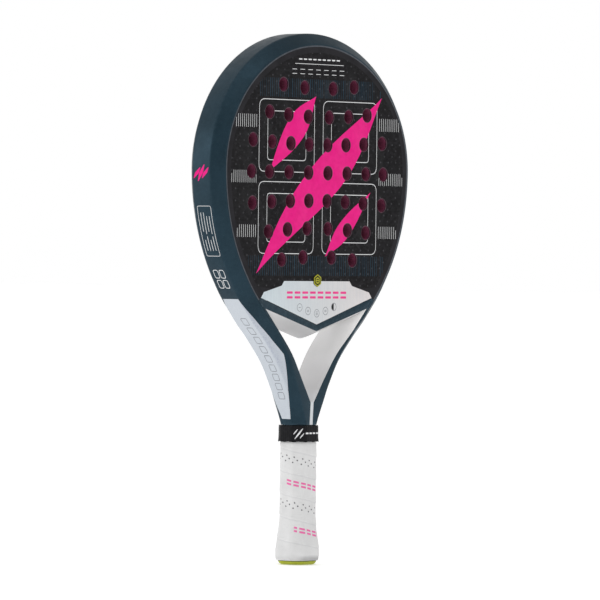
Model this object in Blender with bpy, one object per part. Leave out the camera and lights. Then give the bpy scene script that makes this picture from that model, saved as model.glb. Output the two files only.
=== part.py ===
"""Padel racket: carbon frame, foam core, drilled faces, throat bridge and wrapped handle.

Metres, +Z up. The racket stands on its butt: +Z runs up the handle to the head, X runs
across the face, and the front face looks towards -Y. The origin is the butt's centre.
"""

import math

import bmesh
import bpy
from mathutils import Matrix, Vector

MM = 0.001
GAP = 0.3 * MM  # clearance between neighbouring pieces

# Head: two half ellipses that share the widest line.
HEAD_HALF_WIDTH = 130.0 * MM
HEAD_WIDEST_Z = 338.0 * MM
HEAD_RISE = 117.0 * MM  # from the widest line up to the tip
HEAD_DROP = 153.0 * MM  # from the widest line down to the lower ellipse's own tip
HEAD_START_Z = 240.0 * MM  # where the ellipse takes over from the throat

# Frame section: a flat side, a 45 degree chamfer, then the front or rear.
HALF_DEPTH = 19.0 * MM
SIDE_HALF = 10.0 * MM
CHAMFER = 9.3 * MM
HEAD_WALL = 14.0 * MM  # across the tube, from its side to the foam
TUBE_SHELL = 1.6 * MM
SKIN = 1.0 * MM
SKIN_INSET = 9.7 * MM
UNDER_SKIN = HALF_DEPTH - SKIN - GAP

# Throat leg: outer x, z, inner x, z, half depth, half side flat, chamfer, all in mm.
LEG_STATIONS = (
    (17.0, 119.8, 2.3, 119.8, 13.9, 5.3, 10.0),
    (20.6, 136.0, 2.3, 140.0, 14.9, 7.8, 7.2),
    (28.0, 152.6, 15.0, 160.0, 16.0, 9.0, 7.2),
    (39.8, 172.5, 29.5, 181.0, 17.4, 9.3, 8.4),
    (57.2, 192.8, 49.0, 201.0, 19.0, 10.0, 9.0),
    (75.5, 210.7, 66.5, 219.5, 19.0, 10.0, 9.3),
)
LEG_STEPS = 3
SKIN_START = 0.32  # where the skins begin, from the last leg station to the head
SKIN_SECOND = 0.66  # the next station on that stretch
SKIN_STEP = 0.005  # how far before and after SKIN_START the tube steps in

# Throat bridge: heights on the centre line, and the rise per unit of x to each side.
BRIDGE_KEEL_Z = 193.6 * MM
BRIDGE_EDGE_Z = 200.3 * MM
BRIDGE_SKIN_Z = 205.5 * MM
BRIDGE_TOP_Z = 216.0 * MM
EDGE_RISE = 0.289
SKIN_RISE = 0.315
BRIDGE_SHELL = 1.5 * MM
CROWN_SPREAD = 0.55  # the underside's middle corner, as a share of the half depth
CROWN_LIFT = 0.3  # its height there, from the keel to the front edge
WALL_LEAN = 1.4  # sideways distance on the leaning inner wall for each unit of gap

# Holes: rows counted from the middle row, each with its x positions to one side.
HOLE_RADIUS = 5.85 * MM
HOLE_SIDES = 12
HOLE_CENTRE_Z = 335.7 * MM
HOLE_BOW = 0.016  # rows curve away from the middle one towards their ends
HOLE_ROWS = (
    (0.0, (12.8, 38.3, 63.7, 86.9)),
    (24.0, (12.1, 36.4, 60.4, 85.2)),
    (47.6, (13.85, 39.6, 64.25)),
    (72.0, (18.75, 46.65)),
)

# Handle core: an octagon of half width, half depth and corner cut.
CORE_HALF_WIDTH = 12.5 * MM
CORE_HALF_DEPTH = 10.9 * MM
CORE_CUT = 5.6 * MM
SPINE_HALF_WIDTH = 2.0 * MM
HANDLE_END_Z = 12.0 * MM
SHOULDER_Z = 119.8 * MM
SHOULDER_RUN = 0.2 * MM  # the handle's section widens to the throat's over this height
FOAM_TOP_Z = 117.8 * MM

# Grip layers, as distances outside the core.
GRIP_CUSHION = 1.5 * MM
GRIP_WRAP = 0.7 * MM
CUSHION_OUT = GAP + GRIP_CUSHION
WRAP_OUT = CUSHION_OUT + GAP + GRIP_WRAP
CUSHION_TOP_Z = 104.0 * MM
WRAP_TOP_Z = 118.6 * MM
BAND_BOTTOM_Z = 106.5 * MM
BAND_TOP_Z = 119.3 * MM
SQUEEZE = 0.5 * MM  # how much the band presses the wrap in
SQUEEZE_RUN = 2.0 * MM
TAPE = 0.2 * MM
TAPE_BOTTOM_Z = 108.0 * MM
BAND_WALL = 1.2 * MM
BAND_EDGE = 1.0 * MM
# Flare of the butt: height in mm and how far the wrap stands out beyond its straight part.
FLARE = ((40.0, 0.0), (30.0, 0.9), (20.0, 2.3), (12.0, 3.35), (8.0, 3.3), (5.0, 2.8), (3.4, 2.3))
COLLAR_TOP_Z = 27.0 * MM
FOAM_STOPS_Z = (30.0 * MM, 40.0 * MM)  # above the collar, where the cushion turns straight

# Butt cap: height in mm and distance outside the core.
CAP_PROFILE = ((0.0, 0.9), (1.0, 2.7), (2.0, 3.5), (3.0, 3.9))
CORD_HOLE_RADIUS = 3.2 * MM
SCREW_X = 7.0 * MM
SCREW_RADIUS = 1.3 * MM
SCREW_HEAD_RADIUS = 2.6 * MM
SCREW_HEAD_Z = (0.4 * MM, 1.9 * MM)
SCREW_TIP_Z = 15.0 * MM
SCREW_POINT = 0.3  # the tip's radius, as a share of the shank's
DRILL_LENGTH = 60.0 * MM
PEG_X = (4.3 * MM, 9.6 * MM)
PEG_HALF_DEPTH = 5.4 * MM
PEG_TOP_Z = 24.0 * MM
PLUG_Z = (3.3 * MM, 11.7 * MM)

BADGE_Z = 243.5 * MM
BADGE_RADIUS = 5.5 * MM
BADGE_THICKNESS = 0.3 * MM


# ---------------------------------------------------------------- materials


def material(name, colour, roughness, metallic=0.0):
    """A Principled material of one colour."""
    mat = bpy.data.materials.new(name)
    mat.use_nodes = True
    shader = mat.node_tree.nodes["Principled BSDF"]
    shader.inputs["Base Color"].default_value = (*colour, 1.0)
    shader.inputs["Roughness"].default_value = roughness
    shader.inputs["Metallic"].default_value = metallic
    return mat


def make_materials():
    return {
        "frame_paint": material("frame_paint", (0.046, 0.078, 0.107), 0.4),
        "carbon_face": material("carbon_face", (0.012, 0.012, 0.013), 0.35),
        "magenta_foam": material("magenta_foam", (0.103, 0.014, 0.042), 0.8),
        "handle_foam": material("handle_foam", (0.6, 0.57, 0.5), 0.9),
        "white_filler": material("white_filler", (0.58, 0.57, 0.56), 0.45),
        "black_nylon": material("black_nylon", (0.02, 0.02, 0.02), 0.5),
        "lime_cap": material("lime_cap", (0.46, 0.54, 0.01), 0.45),
        "screw_steel": material("screw_steel", (0.6, 0.6, 0.6), 0.3, 1.0),
        "grip_cushion": material("grip_cushion", (0.7, 0.7, 0.7), 0.8),
        "grip_wrap": material("grip_wrap", (0.78, 0.78, 0.78), 0.65),
        "tape": material("tape", (0.03, 0.03, 0.03), 0.6),
        "band_elastic": material("band_elastic", (0.008, 0.008, 0.009), 0.7),
        "badge_gold": material("badge_gold", (0.28, 0.28, 0.01), 0.35),
    }


# ---------------------------------------------------------------- mesh helpers


def add_object(name, bm, mat):
    """Closes the bmesh into an object whose faces point out."""
    bmesh.ops.recalc_face_normals(bm, faces=bm.faces[:])
    mesh = bpy.data.meshes.new(name)
    bm.to_mesh(mesh)
    bm.free()
    mesh.materials.append(mat)
    mesh.shade_smooth()
    mesh.set_sharp_from_angle(angle=math.radians(30))
    obj = bpy.data.objects.new(name, mesh)
    bpy.context.collection.objects.link(obj)
    return obj


def skin_rings(bm, rings):
    """Joins rings of equal length, one after another, and returns the vertices."""
    made = [[bm.verts.new(point) for point in ring] for ring in rings]
    count = len(made[0])
    for low, high in zip(made, made[1:]):
        for i in range(count):
            j = (i + 1) % count
            bm.faces.new((low[i], low[j], high[j], high[i]))
    return made


def solid_loft(name, rings, mat):
    """A closed solid through rings, with a flat cap at each end."""
    bm = bmesh.new()
    made = skin_rings(bm, rings)
    bm.faces.new(made[0])
    bm.faces.new(made[-1])
    return add_object(name, bm, mat)


def hollow_loft(name, outer_rings, inner_rings, mat):
    """A tube through outer and inner rings, open at both ends."""
    bm = bmesh.new()
    outer = skin_rings(bm, outer_rings)
    inner = skin_rings(bm, inner_rings)
    count = len(outer[0])
    for end in (0, -1):
        for i in range(count):
            j = (i + 1) % count
            bm.faces.new((outer[end][i], outer[end][j], inner[end][j], inner[end][i]))
    return add_object(name, bm, mat)


def inset_polygon(points, distance):
    """Moves each side of a convex polygon inwards, and returns the new corners."""
    count = len(points)
    area = sum(points[i - 1][0] * points[i][1] - points[i][0] * points[i - 1][1] for i in range(count))
    turn = 1.0 if area > 0 else -1.0
    lines = []
    for i in range(count):
        a, b = Vector(points[i]), Vector(points[(i + 1) % count])
        along = (b - a).normalized()
        inward = Vector((-along.y, along.x)) * turn
        lines.append((a + inward * distance, along))
    corners = []
    for i in range(count):
        (p, d), (q, e) = lines[i - 1], lines[i]
        step = (q - p).cross(e) / d.cross(e)
        corners.append(p + d * step)
    return corners


def cut(obj, cutter, operation="DIFFERENCE"):
    """A Boolean with a guide object that isn't part of the racket."""
    boolean = obj.modifiers.new(cutter.name, "BOOLEAN")
    boolean.operation = operation
    boolean.solver = "EXACT"
    boolean.object = cutter


def guide(obj):
    obj.hide_render = True
    obj.display_type = "WIRE"
    return obj


def cylinders(name, places, mat):
    """One guide made of cylinders: centre, radius, length, and whether each lies along Y."""
    bm = bmesh.new()
    for centre, radius, length, lies_along_y in places:
        made = bmesh.ops.create_cone(
            bm, cap_ends=True, segments=HOLE_SIDES, radius1=radius, radius2=radius, depth=length
        )
        if lies_along_y:
            quarter = Matrix.Rotation(math.pi / 2, 3, "X")
            bmesh.ops.rotate(bm, matrix=quarter, verts=made["verts"])
        bmesh.ops.translate(bm, vec=centre, verts=made["verts"])
    return guide(add_object(name, bm, mat))


# ---------------------------------------------------------------- frame


def smooth_between(points, i, t):
    """A point between points i and i + 1 on the smooth curve through all of them."""
    before = points[max(i - 1, 0)]
    start, end = points[i], points[i + 1]
    after = points[min(i + 2, len(points) - 1)]
    bend = 2 * before - 5 * start + 4 * end - after
    twist = 3 * (start - end) + after - before
    return 0.5 * (2 * start + (end - before) * t + bend * t**2 + twist * t**3)


def head_point(angle):
    """The side of the head at an angle above the widest line, and the way out from it."""
    half_height = HEAD_RISE if angle > 0 else HEAD_DROP
    x = HEAD_HALF_WIDTH * math.cos(angle)
    z = HEAD_WIDEST_Z + half_height * math.sin(angle)
    out = Vector((math.cos(angle) / HEAD_HALF_WIDTH, math.sin(angle) / half_height)).normalized()
    return Vector((x, z)), out


HEAD_START_ANGLE = -math.asin((HEAD_WIDEST_Z - HEAD_START_Z) / HEAD_DROP)
LOW_STEPS, HIGH_STEPS = 7, 14


class Station:
    """One cross-section of the tube: its outer and inner point in x and z, and its shape."""

    def __init__(self, outer, inner, depth, side, chamfer):
        self.outer, self.inner = outer, inner
        self.depth, self.side, self.chamfer = depth, side, chamfer
        self.across = (inner - outer).normalized()
        self.wall = (inner - outer).length

    def at(self, distance):
        """A point in x and z, this far in from the side."""
        return self.outer + self.across * distance

    def section(self):
        """The section's corners: distance in from the side, and y."""
        d, s, c, w = self.depth, self.side, self.chamfer, self.wall
        return [(0, s), (0, -s), (c, -d), (w, -d), (w, d), (c, d)]

    def ring(self, inset):
        corners = inset_polygon(self.section(), inset) if inset else map(Vector, self.section())
        return [Vector((self.at(u).x, y, self.at(u).y)) for u, y in corners]

    def mirrored(self):
        flip = Vector((-1, 1))
        return Station(self.outer * flip, self.inner * flip, self.depth, self.side, self.chamfer)


def leg_rows():
    rows = []
    for ox, oz, ix, iz, *shape in LEG_STATIONS:
        sizes = [value * MM for value in shape]
        rows.append((Vector((ox, oz)) * MM, Vector((ix, iz)) * MM, sizes))
    return rows


def leg_stations():
    """From the handle's shoulder up to the throat's top corner."""
    rows = leg_rows()
    outers = [row[0] for row in rows] + [head_point(HEAD_START_ANGLE)[0]]
    stations = []
    for i in range(len(rows) - 1):
        for step in range(LEG_STEPS):
            t = step / LEG_STEPS
            inner = rows[i][1].lerp(rows[i + 1][1], t)
            sizes = [a + (b - a) * t for a, b in zip(rows[i][2], rows[i + 1][2])]
            stations.append(Station(smooth_between(outers, i, t), inner, *sizes))
    return stations


def wall_point(t):
    """The tube's inner wall from the throat's top corner to where the ellipse starts."""
    corner = leg_rows()[-1][1]
    point, out = head_point(HEAD_START_ANGLE)
    return corner.lerp(point - out * HEAD_WALL, t)


def shoulder_station(t, under_skin):
    """Between the throat's top corner and the start of the ellipse."""
    rows = leg_rows()
    outers = [row[0] for row in rows]
    outers += [head_point(angle)[0] for angle in (HEAD_START_ANGLE, HEAD_START_ANGLE / 2)]
    outer = smooth_between(outers, len(rows) - 1, t)
    depth = UNDER_SKIN if under_skin else HALF_DEPTH
    chamfer = CHAMFER * (depth - SIDE_HALF) / (HALF_DEPTH - SIDE_HALF)
    return Station(outer, wall_point(t), depth, SIDE_HALF, chamfer)


def head_angles():
    """From the ellipse's start to the tip, without the tip."""
    low = [HEAD_START_ANGLE * (1 - i / LOW_STEPS) for i in range(LOW_STEPS)]
    high = [math.pi / 2 * i / HIGH_STEPS for i in range(HIGH_STEPS)]
    return low + high


def head_station(angle):
    point, out = head_point(angle)
    chamfer = CHAMFER * (UNDER_SKIN - SIDE_HALF) / (HALF_DEPTH - SIDE_HALF)
    return Station(point, point - out * HEAD_WALL, UNDER_SKIN, SIDE_HALF, chamfer)


def under_skin_stations():
    """The tube's stations that the skins cover, from the throat up to the tip."""
    covered = [shoulder_station(t, True) for t in (SKIN_START, SKIN_SECOND)]
    return covered + [head_station(angle) for angle in head_angles()]


def half_frame():
    """Stations of the right half, from the handle's end to the tip."""
    handle = []
    for z in (HANDLE_END_Z, SHOULDER_Z - SHOULDER_RUN):
        outer = Vector((CORE_HALF_WIDTH, z))
        inner = Vector((SPINE_HALF_WIDTH + GAP, z))
        handle.append(Station(outer, inner, CORE_HALF_DEPTH, CORE_HALF_DEPTH - CORE_CUT, CORE_CUT))
    corner = [shoulder_station(t, False) for t in (0.0, SKIN_START - SKIN_STEP)]
    return handle + leg_stations() + corner + under_skin_stations()


def make_frame(mats):
    right = half_frame()
    tip = head_station(math.pi / 2)
    left = [station.mirrored() for station in reversed(right)]
    outer, inner = [], []
    for station in right + [tip] + left:
        outer.append(station.ring(0))
        inner.append(station.ring(TUBE_SHELL))
    hollow_loft("frame_tube", outer, inner, mats["frame_paint"])


# ---------------------------------------------------------------- head


def meet_wall(height, rise, gap=GAP):
    """Where a sloping line from the centre reaches the inner wall, less the gap."""
    walls = [row[1] for row in leg_rows()][-2:] + [wall_point(1.0)]
    for low, high in zip(walls, walls[1:]):
        along = high - low
        t = (height + rise * low.x - low.y) / (along.y - rise * along.x)
        if t <= 1:
            x = low.x + along.x * t - gap * WALL_LEAN
            return Vector((x, height + rise * x))
    raise ValueError("the line misses the wall")


def mirrored_outline(half):
    """A closed outline from its right half, which starts on the centre line at the bottom."""
    flip = Vector((-1, 1))
    left = [point * flip for point in reversed(half) if abs(point.x) > GAP]
    return half + left


def hole_centres():
    for side in (-1, 1):
        for height, places in HOLE_ROWS:
            for row in {height, -height}:
                for x in places:
                    z = HOLE_CENTRE_Z / MM + row * (1 + HOLE_BOW * x * x / 1000)
                    yield side * x * MM, z * MM


def make_hole_guide(mats):
    reach = 4 * HALF_DEPTH
    places = [(Vector((x, 0, z)), HOLE_RADIUS, reach, True) for x, z in sorted(hole_centres())]
    return cylinders("hole_guide", places, mats["magenta_foam"])


def upright(outline, y):
    return [Vector((point.x, y, point.y)) for point in outline]


def make_core(mats, holes):
    start = meet_wall(BRIDGE_TOP_Z + GAP, SKIN_RISE)
    walls = [station.at(station.wall + GAP) for station in under_skin_stations()]
    half = [Vector((0, BRIDGE_TOP_Z + GAP)), start]
    half += [point for point in walls if point.y > start.y + GAP]
    half.append(head_station(math.pi / 2).at(HEAD_WALL + GAP))
    outline = mirrored_outline(half)
    core = solid_loft(
        "core_foam", [upright(outline, -UNDER_SKIN), upright(outline, UNDER_SKIN)], mats["magenta_foam"]
    )
    cut(core, holes)


def make_faces(mats, holes):
    """The drilled skins: each has the frame's chamfer round its edge."""
    start = shoulder_station(SKIN_START + 2 * SKIN_STEP, True)
    covered = [start] + under_skin_stations()[1:] + [head_station(math.pi / 2)]

    def outline(inset):
        half = [Vector((0, BRIDGE_SKIN_Z + GAP)), start.inner]
        return mirrored_outline(half + [station.at(inset) for station in covered])

    for name, side in (("face_front", -1), ("face_rear", 1)):
        shown = upright(outline(SKIN_INSET), side * HALF_DEPTH)
        hidden = upright(outline(SKIN_INSET - SKIN + GAP), side * (HALF_DEPTH - SKIN))
        face = solid_loft(name, [hidden, shown], mats["carbon_face"])
        cut(face, holes)


def bridge_rings(corners, gap):
    """Three rings, left, centre and right, from corners given as y, centre height and rise."""
    ends = [meet_wall(height, rise, gap) for y, height, rise in corners]
    right = [Vector((end.x, corner[0], end.y)) for end, corner in zip(ends, corners)]
    left = [Vector((-point.x, point.y, point.z)) for point in right]
    return [left, [Vector((0, y, height)) for y, height, rise in corners], right]


def both_sides(half):
    """Corners from the keel to the top, and back down the other side."""
    return half + [(-y, height, rise) for y, height, rise in reversed(half) if y]


def make_bridge(mats):
    step = BRIDGE_SKIN_Z
    crown_z = BRIDGE_KEEL_Z + CROWN_LIFT * (BRIDGE_EDGE_Z - BRIDGE_KEEL_Z)
    crown_y = -CROWN_SPREAD * HALF_DEPTH
    outer = both_sides([
        (0.0, BRIDGE_KEEL_Z, EDGE_RISE),
        (crown_y, crown_z, EDGE_RISE),
        (-HALF_DEPTH, BRIDGE_EDGE_Z, EDGE_RISE),
        (-HALF_DEPTH, step, SKIN_RISE),
        (-UNDER_SKIN, step, SKIN_RISE),
        (-UNDER_SKIN, BRIDGE_TOP_Z, SKIN_RISE),
    ])
    wall = BRIDGE_SHELL
    room = UNDER_SKIN - wall

    def hollow(slack):
        return both_sides([
            (0.0, BRIDGE_KEEL_Z + wall + slack, EDGE_RISE),
            (crown_y, crown_z + wall + slack, EDGE_RISE),
            (-room + slack, BRIDGE_EDGE_Z + wall + slack, EDGE_RISE),
            (-room + slack, step, SKIN_RISE),
            (-room + slack, step + 2 * wall, SKIN_RISE),
            (-room + slack, BRIDGE_TOP_Z - wall - slack, SKIN_RISE),
        ])

    hollow_loft(
        "throat_bridge", bridge_rings(outer, GAP), bridge_rings(hollow(0.0), GAP), mats["frame_paint"]
    )
    solid_loft("bridge_core", bridge_rings(hollow(GAP), 2 * GAP), mats["magenta_foam"])


def make_badge(mats):
    bm = bmesh.new()
    bmesh.ops.create_cone(
        bm, cap_ends=True, segments=6, radius1=BADGE_RADIUS, radius2=BADGE_RADIUS, depth=BADGE_THICKNESS
    )
    # a point of the hexagon is at the top
    bmesh.ops.rotate(bm, matrix=Matrix.Rotation(math.pi / 2, 3, "X"), verts=bm.verts[:])
    badge = add_object("badge_hex", bm, mats["badge_gold"])
    badge.location = (0, -(HALF_DEPTH + GAP + BADGE_THICKNESS / 2), BADGE_Z)


# ---------------------------------------------------------------- handle


def octagon(outside, z):
    """The core's section, moved out by a distance, at height z."""
    a, b = CORE_HALF_WIDTH + outside, CORE_HALF_DEPTH + outside
    c = CORE_CUT + (2 - math.sqrt(2)) * outside
    quarter = [(a, b - c), (a - c, b)]
    corners = quarter + [(-x, y) for x, y in reversed(quarter)]
    corners += [(-x, -y) for x, y in quarter] + [(x, -y) for x, y in reversed(quarter)]
    return [Vector((x, y, z)) for x, y in corners]


def flare(z):
    """How far the wrap stands out at a height, beyond its straight part."""
    height = z / MM
    for (high, out_high), (low, out_low) in zip(FLARE, FLARE[1:]):
        if height > high:
            return 0.0
        if height >= low:
            share = (height - low) / (high - low)
            return (out_low + (out_high - out_low) * share) * MM
    return FLARE[-1][1] * MM


def sleeve(name, stops, mat):
    """A tube round the core, from stops of height, inner distance and outer distance."""
    outer = [octagon(out, z) for z, inside, out in stops]
    inner = [octagon(inside, z) for z, inside, out in stops]
    hollow_loft(name, outer, inner, mat)


def collar_heights():
    """The flare's heights below the collar's top, and that top."""
    heights = [height * MM for height, out in reversed(FLARE)]
    return [z for z in heights if z < COLLAR_TOP_Z] + [COLLAR_TOP_Z]


def make_spine(mats):
    """The web between the legs, flush with them at the front and the rear."""
    levels = [(HANDLE_END_Z, CORE_HALF_DEPTH), (SHOULDER_Z - SHOULDER_RUN, CORE_HALF_DEPTH)]
    levels += [(SHOULDER_Z, LEG_STATIONS[0][4] * MM), (LEG_STATIONS[1][3] * MM, LEG_STATIONS[1][4] * MM)]
    w = SPINE_HALF_WIDTH
    rings = []
    for z, d in levels:
        rings.append([Vector((x, y, z)) for x, y in ((-w, -d), (w, -d), (w, d), (-w, d))])
    solid_loft("handle_spine", rings, mats["white_filler"])


def make_handle_foam(mats):
    """Foam inside each leg, from the plug's pegs to the shoulder."""
    right = half_frame()[0]
    shape = inset_polygon(right.section(), TUBE_SHELL + GAP)
    for name, side in (("handle_foam_left", -1), ("handle_foam_right", 1)):
        rings = []
        for z in (PEG_TOP_Z + GAP, FOAM_TOP_Z):
            rings.append([Vector((side * right.at(u).x, y, z)) for u, y in shape])
        solid_loft(name, rings, mats["handle_foam"])


def make_butt(mats):
    """Plug with two pegs, flared collar, cap with the wrist cord's hole, and two screws."""
    drills = [(Vector((0, 0, 0)), CORD_HOLE_RADIUS, DRILL_LENGTH, False)]
    sinks = []
    for x in (-SCREW_X, SCREW_X):
        drills.append((Vector((x, 0, 0)), SCREW_RADIUS + GAP, 2 * (SCREW_TIP_Z + GAP), False))
        sinks.append((Vector((x, 0, 0)), SCREW_HEAD_RADIUS + GAP, 2 * (SCREW_HEAD_Z[1] + GAP), False))
    drill_guide = cylinders("drill_guide", drills, mats["screw_steel"])
    sink_guide = cylinders("sink_guide", sinks, mats["screw_steel"])

    plug = solid_loft("butt_plug", [octagon(0.0, z) for z in PLUG_Z], mats["black_nylon"])
    for name, side in (("peg_left_guide", -1), ("peg_right_guide", 1)):
        near, far = (side * x for x in PEG_X)
        d = PEG_HALF_DEPTH
        base = [(near, -d), (far, -d), (far, d), (near, d)]
        # the peg starts inside the plug, so that the two join
        rings = [[Vector((x, y, z)) for x, y in base] for z in (PLUG_Z[1] - MM, PEG_TOP_Z)]
        cut(plug, guide(solid_loft(name, rings, mats["black_nylon"])), "UNION")
    cut(plug, drill_guide)

    cap = solid_loft("butt_cap", [octagon(out * MM, z * MM) for z, out in CAP_PROFILE], mats["lime_cap"])
    cut(cap, drill_guide)
    cut(cap, sink_guide)

    sleeve("butt_collar", [(z, GAP, flare(z)) for z in collar_heights()], mats["black_nylon"])

    for name, x in (("cap_screw_left", -SCREW_X), ("cap_screw_right", SCREW_X)):
        make_screw(name, x, mats["screw_steel"])


def make_screw(name, x, mat):
    low, high = SCREW_HEAD_Z
    profile = [(low, SCREW_HEAD_RADIUS), (high, SCREW_HEAD_RADIUS), (high, SCREW_RADIUS)]
    profile.append((SCREW_TIP_Z - SCREW_RADIUS, SCREW_RADIUS))
    profile.append((SCREW_TIP_Z, SCREW_POINT * SCREW_RADIUS))
    angles = [2 * math.pi * i / HOLE_SIDES for i in range(HOLE_SIDES)]
    rings = []
    for z, radius in profile:
        rings.append([Vector((radius * math.cos(a), radius * math.sin(a), z)) for a in angles])
    screw = solid_loft(name, rings, mat)
    screw.location = (x, 0, 0)


def make_grips(mats):
    """Cushion grip, its end tape, the outer wrap and the wrap's end tape."""
    stops = [(z, flare(z) + GAP, flare(z) + CUSHION_OUT) for z in collar_heights()]
    stops.append((COLLAR_TOP_Z + GAP, GAP, flare(COLLAR_TOP_Z) + CUSHION_OUT))
    stops += [(z, GAP, flare(z) + CUSHION_OUT) for z in (*FOAM_STOPS_Z, CUSHION_TOP_Z)]
    sleeve("base_grip", stops, mats["grip_cushion"])

    tape_in, tape_out = GAP, CUSHION_OUT - SQUEEZE
    stops = [(CUSHION_TOP_Z + GAP, tape_in, tape_out), (WRAP_TOP_Z, tape_in, tape_out)]
    sleeve("base_grip_tape", stops, mats["tape"])

    wrap_in = CUSHION_OUT + GAP
    heights = [height * MM for height, out in reversed(FLARE)] + [CUSHION_TOP_Z]
    stops = [(z, flare(z) + wrap_in, flare(z) + WRAP_OUT) for z in heights]
    for z in (CUSHION_TOP_Z + SQUEEZE_RUN, WRAP_TOP_Z):
        stops.append((z, wrap_in - SQUEEZE, WRAP_OUT - SQUEEZE))
    sleeve("overgrip", stops, mats["grip_wrap"])

    end_in = WRAP_OUT - SQUEEZE + GAP
    end_out = end_in + TAPE
    stops = [(TAPE_BOTTOM_Z, end_in, end_out), (WRAP_TOP_Z, end_in, end_out)]
    sleeve("finishing_tape", stops, mats["tape"])


def make_band(mats):
    """The elastic ring, which slides down the straight part of the grip."""
    inside = WRAP_OUT + GAP
    outside = inside + BAND_WALL
    height = BAND_TOP_Z - BAND_BOTTOM_Z
    stops = [(0.0, inside, outside - BAND_EDGE / 2), (BAND_EDGE, inside, outside)]
    stops += [(height - BAND_EDGE, inside, outside), (height, inside, outside - BAND_EDGE / 2)]
    sleeve("grip_band", stops, mats["band_elastic"])
    bpy.data.objects["grip_band"].location = (0, 0, BAND_BOTTOM_Z)


def main():
    for obj in list(bpy.data.objects):
        bpy.data.objects.remove(obj, do_unlink=True)
    mats = make_materials()
    make_frame(mats)
    holes = make_hole_guide(mats)
    make_core(mats, holes)
    make_faces(mats, holes)
    make_bridge(mats)
    make_badge(mats)
    make_spine(mats)
    make_handle_foam(mats)
    make_butt(mats)
    make_grips(mats)
    make_band(mats)


main()
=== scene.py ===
"""Looks of the padel racket: paints, drilled skins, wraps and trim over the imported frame.

Sizes are in millimetres in the racket's frame, and become metres where a mesh is made.
"""

import math
from functools import partialmethod

import bmesh
import bpy
import numpy as np
from mathutils import Matrix, Vector
from mathutils.geometry import delaunay_2d_cdt


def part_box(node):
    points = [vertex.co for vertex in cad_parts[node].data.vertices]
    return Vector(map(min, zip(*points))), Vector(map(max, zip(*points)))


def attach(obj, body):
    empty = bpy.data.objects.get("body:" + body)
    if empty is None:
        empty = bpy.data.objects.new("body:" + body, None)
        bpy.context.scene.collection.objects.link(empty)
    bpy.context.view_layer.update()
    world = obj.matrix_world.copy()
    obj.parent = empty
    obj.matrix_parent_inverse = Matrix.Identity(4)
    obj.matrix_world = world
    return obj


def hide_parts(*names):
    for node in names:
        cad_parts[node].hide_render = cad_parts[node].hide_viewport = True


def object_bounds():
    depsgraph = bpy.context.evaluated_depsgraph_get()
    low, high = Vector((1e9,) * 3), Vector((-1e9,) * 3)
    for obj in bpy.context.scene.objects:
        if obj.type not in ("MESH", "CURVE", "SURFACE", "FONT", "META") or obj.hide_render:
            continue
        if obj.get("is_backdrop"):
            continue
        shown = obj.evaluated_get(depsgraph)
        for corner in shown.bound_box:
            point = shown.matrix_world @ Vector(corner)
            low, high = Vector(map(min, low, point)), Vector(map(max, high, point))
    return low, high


MM = 0.001
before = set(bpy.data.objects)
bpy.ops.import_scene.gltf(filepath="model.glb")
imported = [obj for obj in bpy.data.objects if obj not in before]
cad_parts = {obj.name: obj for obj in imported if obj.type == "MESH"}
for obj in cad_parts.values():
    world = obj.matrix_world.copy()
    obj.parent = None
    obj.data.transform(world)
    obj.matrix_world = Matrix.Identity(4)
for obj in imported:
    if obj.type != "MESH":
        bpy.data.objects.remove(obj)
cad_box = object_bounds()


def node_box(name):
    """Lowest and highest corner of a CAD node in millimetres."""
    return [[round(value / MM, 3) for value in corner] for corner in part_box(name)]


# ---------------------------------------------------------------- finishes


class Value:
    """A number or a colour that shader nodes work out. Arithmetic on it adds nodes."""

    def __init__(self, tree, kind, inputs=None, output=0, **props):
        self.tree = tree
        node = tree.nodes.new("ShaderNode" + kind)
        for key, value in props.items():
            setattr(node, key, value)
        for key, value in (inputs or {}).items():
            if isinstance(value, Value):
                value.link(node.inputs[key])
            else:
                node.inputs[key].default_value = value
        self.socket = node.outputs[output]

    def link(self, socket):
        self.tree.links.new(self.socket, socket)

    def math(self, operation, other=0.0):
        return Value(self.tree, "Math", {0: self, 1: other}, operation=operation)

    __add__ = partialmethod(math, "ADD")
    __sub__ = partialmethod(math, "SUBTRACT")
    __mul__ = partialmethod(math, "MULTIPLY")
    __truediv__ = partialmethod(math, "DIVIDE")
    __abs__ = partialmethod(math, "ABSOLUTE")

    def __rsub__(self, number):
        return Value(self.tree, "Math", {0: number, 1: self}, operation="SUBTRACT")

    def xyz(self):
        return [Value(self.tree, "SeparateXYZ", {0: self}, k) for k in range(3)]

    def span(self, low, high, out_low=0.0, out_high=1.0, kind="LINEAR"):
        """Maps low..high to out_low..out_high, and holds beyond."""
        inputs = {0: self, 1: low, 2: high, 3: out_low, 4: out_high}
        return Value(self.tree, "MapRange", inputs, interpolation_type=kind)

    def between(self, low, high, soft=0.1):
        """1 where it lies between low and high."""
        return self.span(low - soft, low + soft) * self.span(high - soft, high + soft, 1.0, 0.0)


def srgb(r, g, b):
    """Linear colour from 8-bit values."""
    values = []
    for c in (r, g, b):
        c /= 255
        values.append(c / 12.92 if c <= 0.04045 else ((c + 0.055) / 1.055) ** 2.4)
    return tuple(values)


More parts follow.
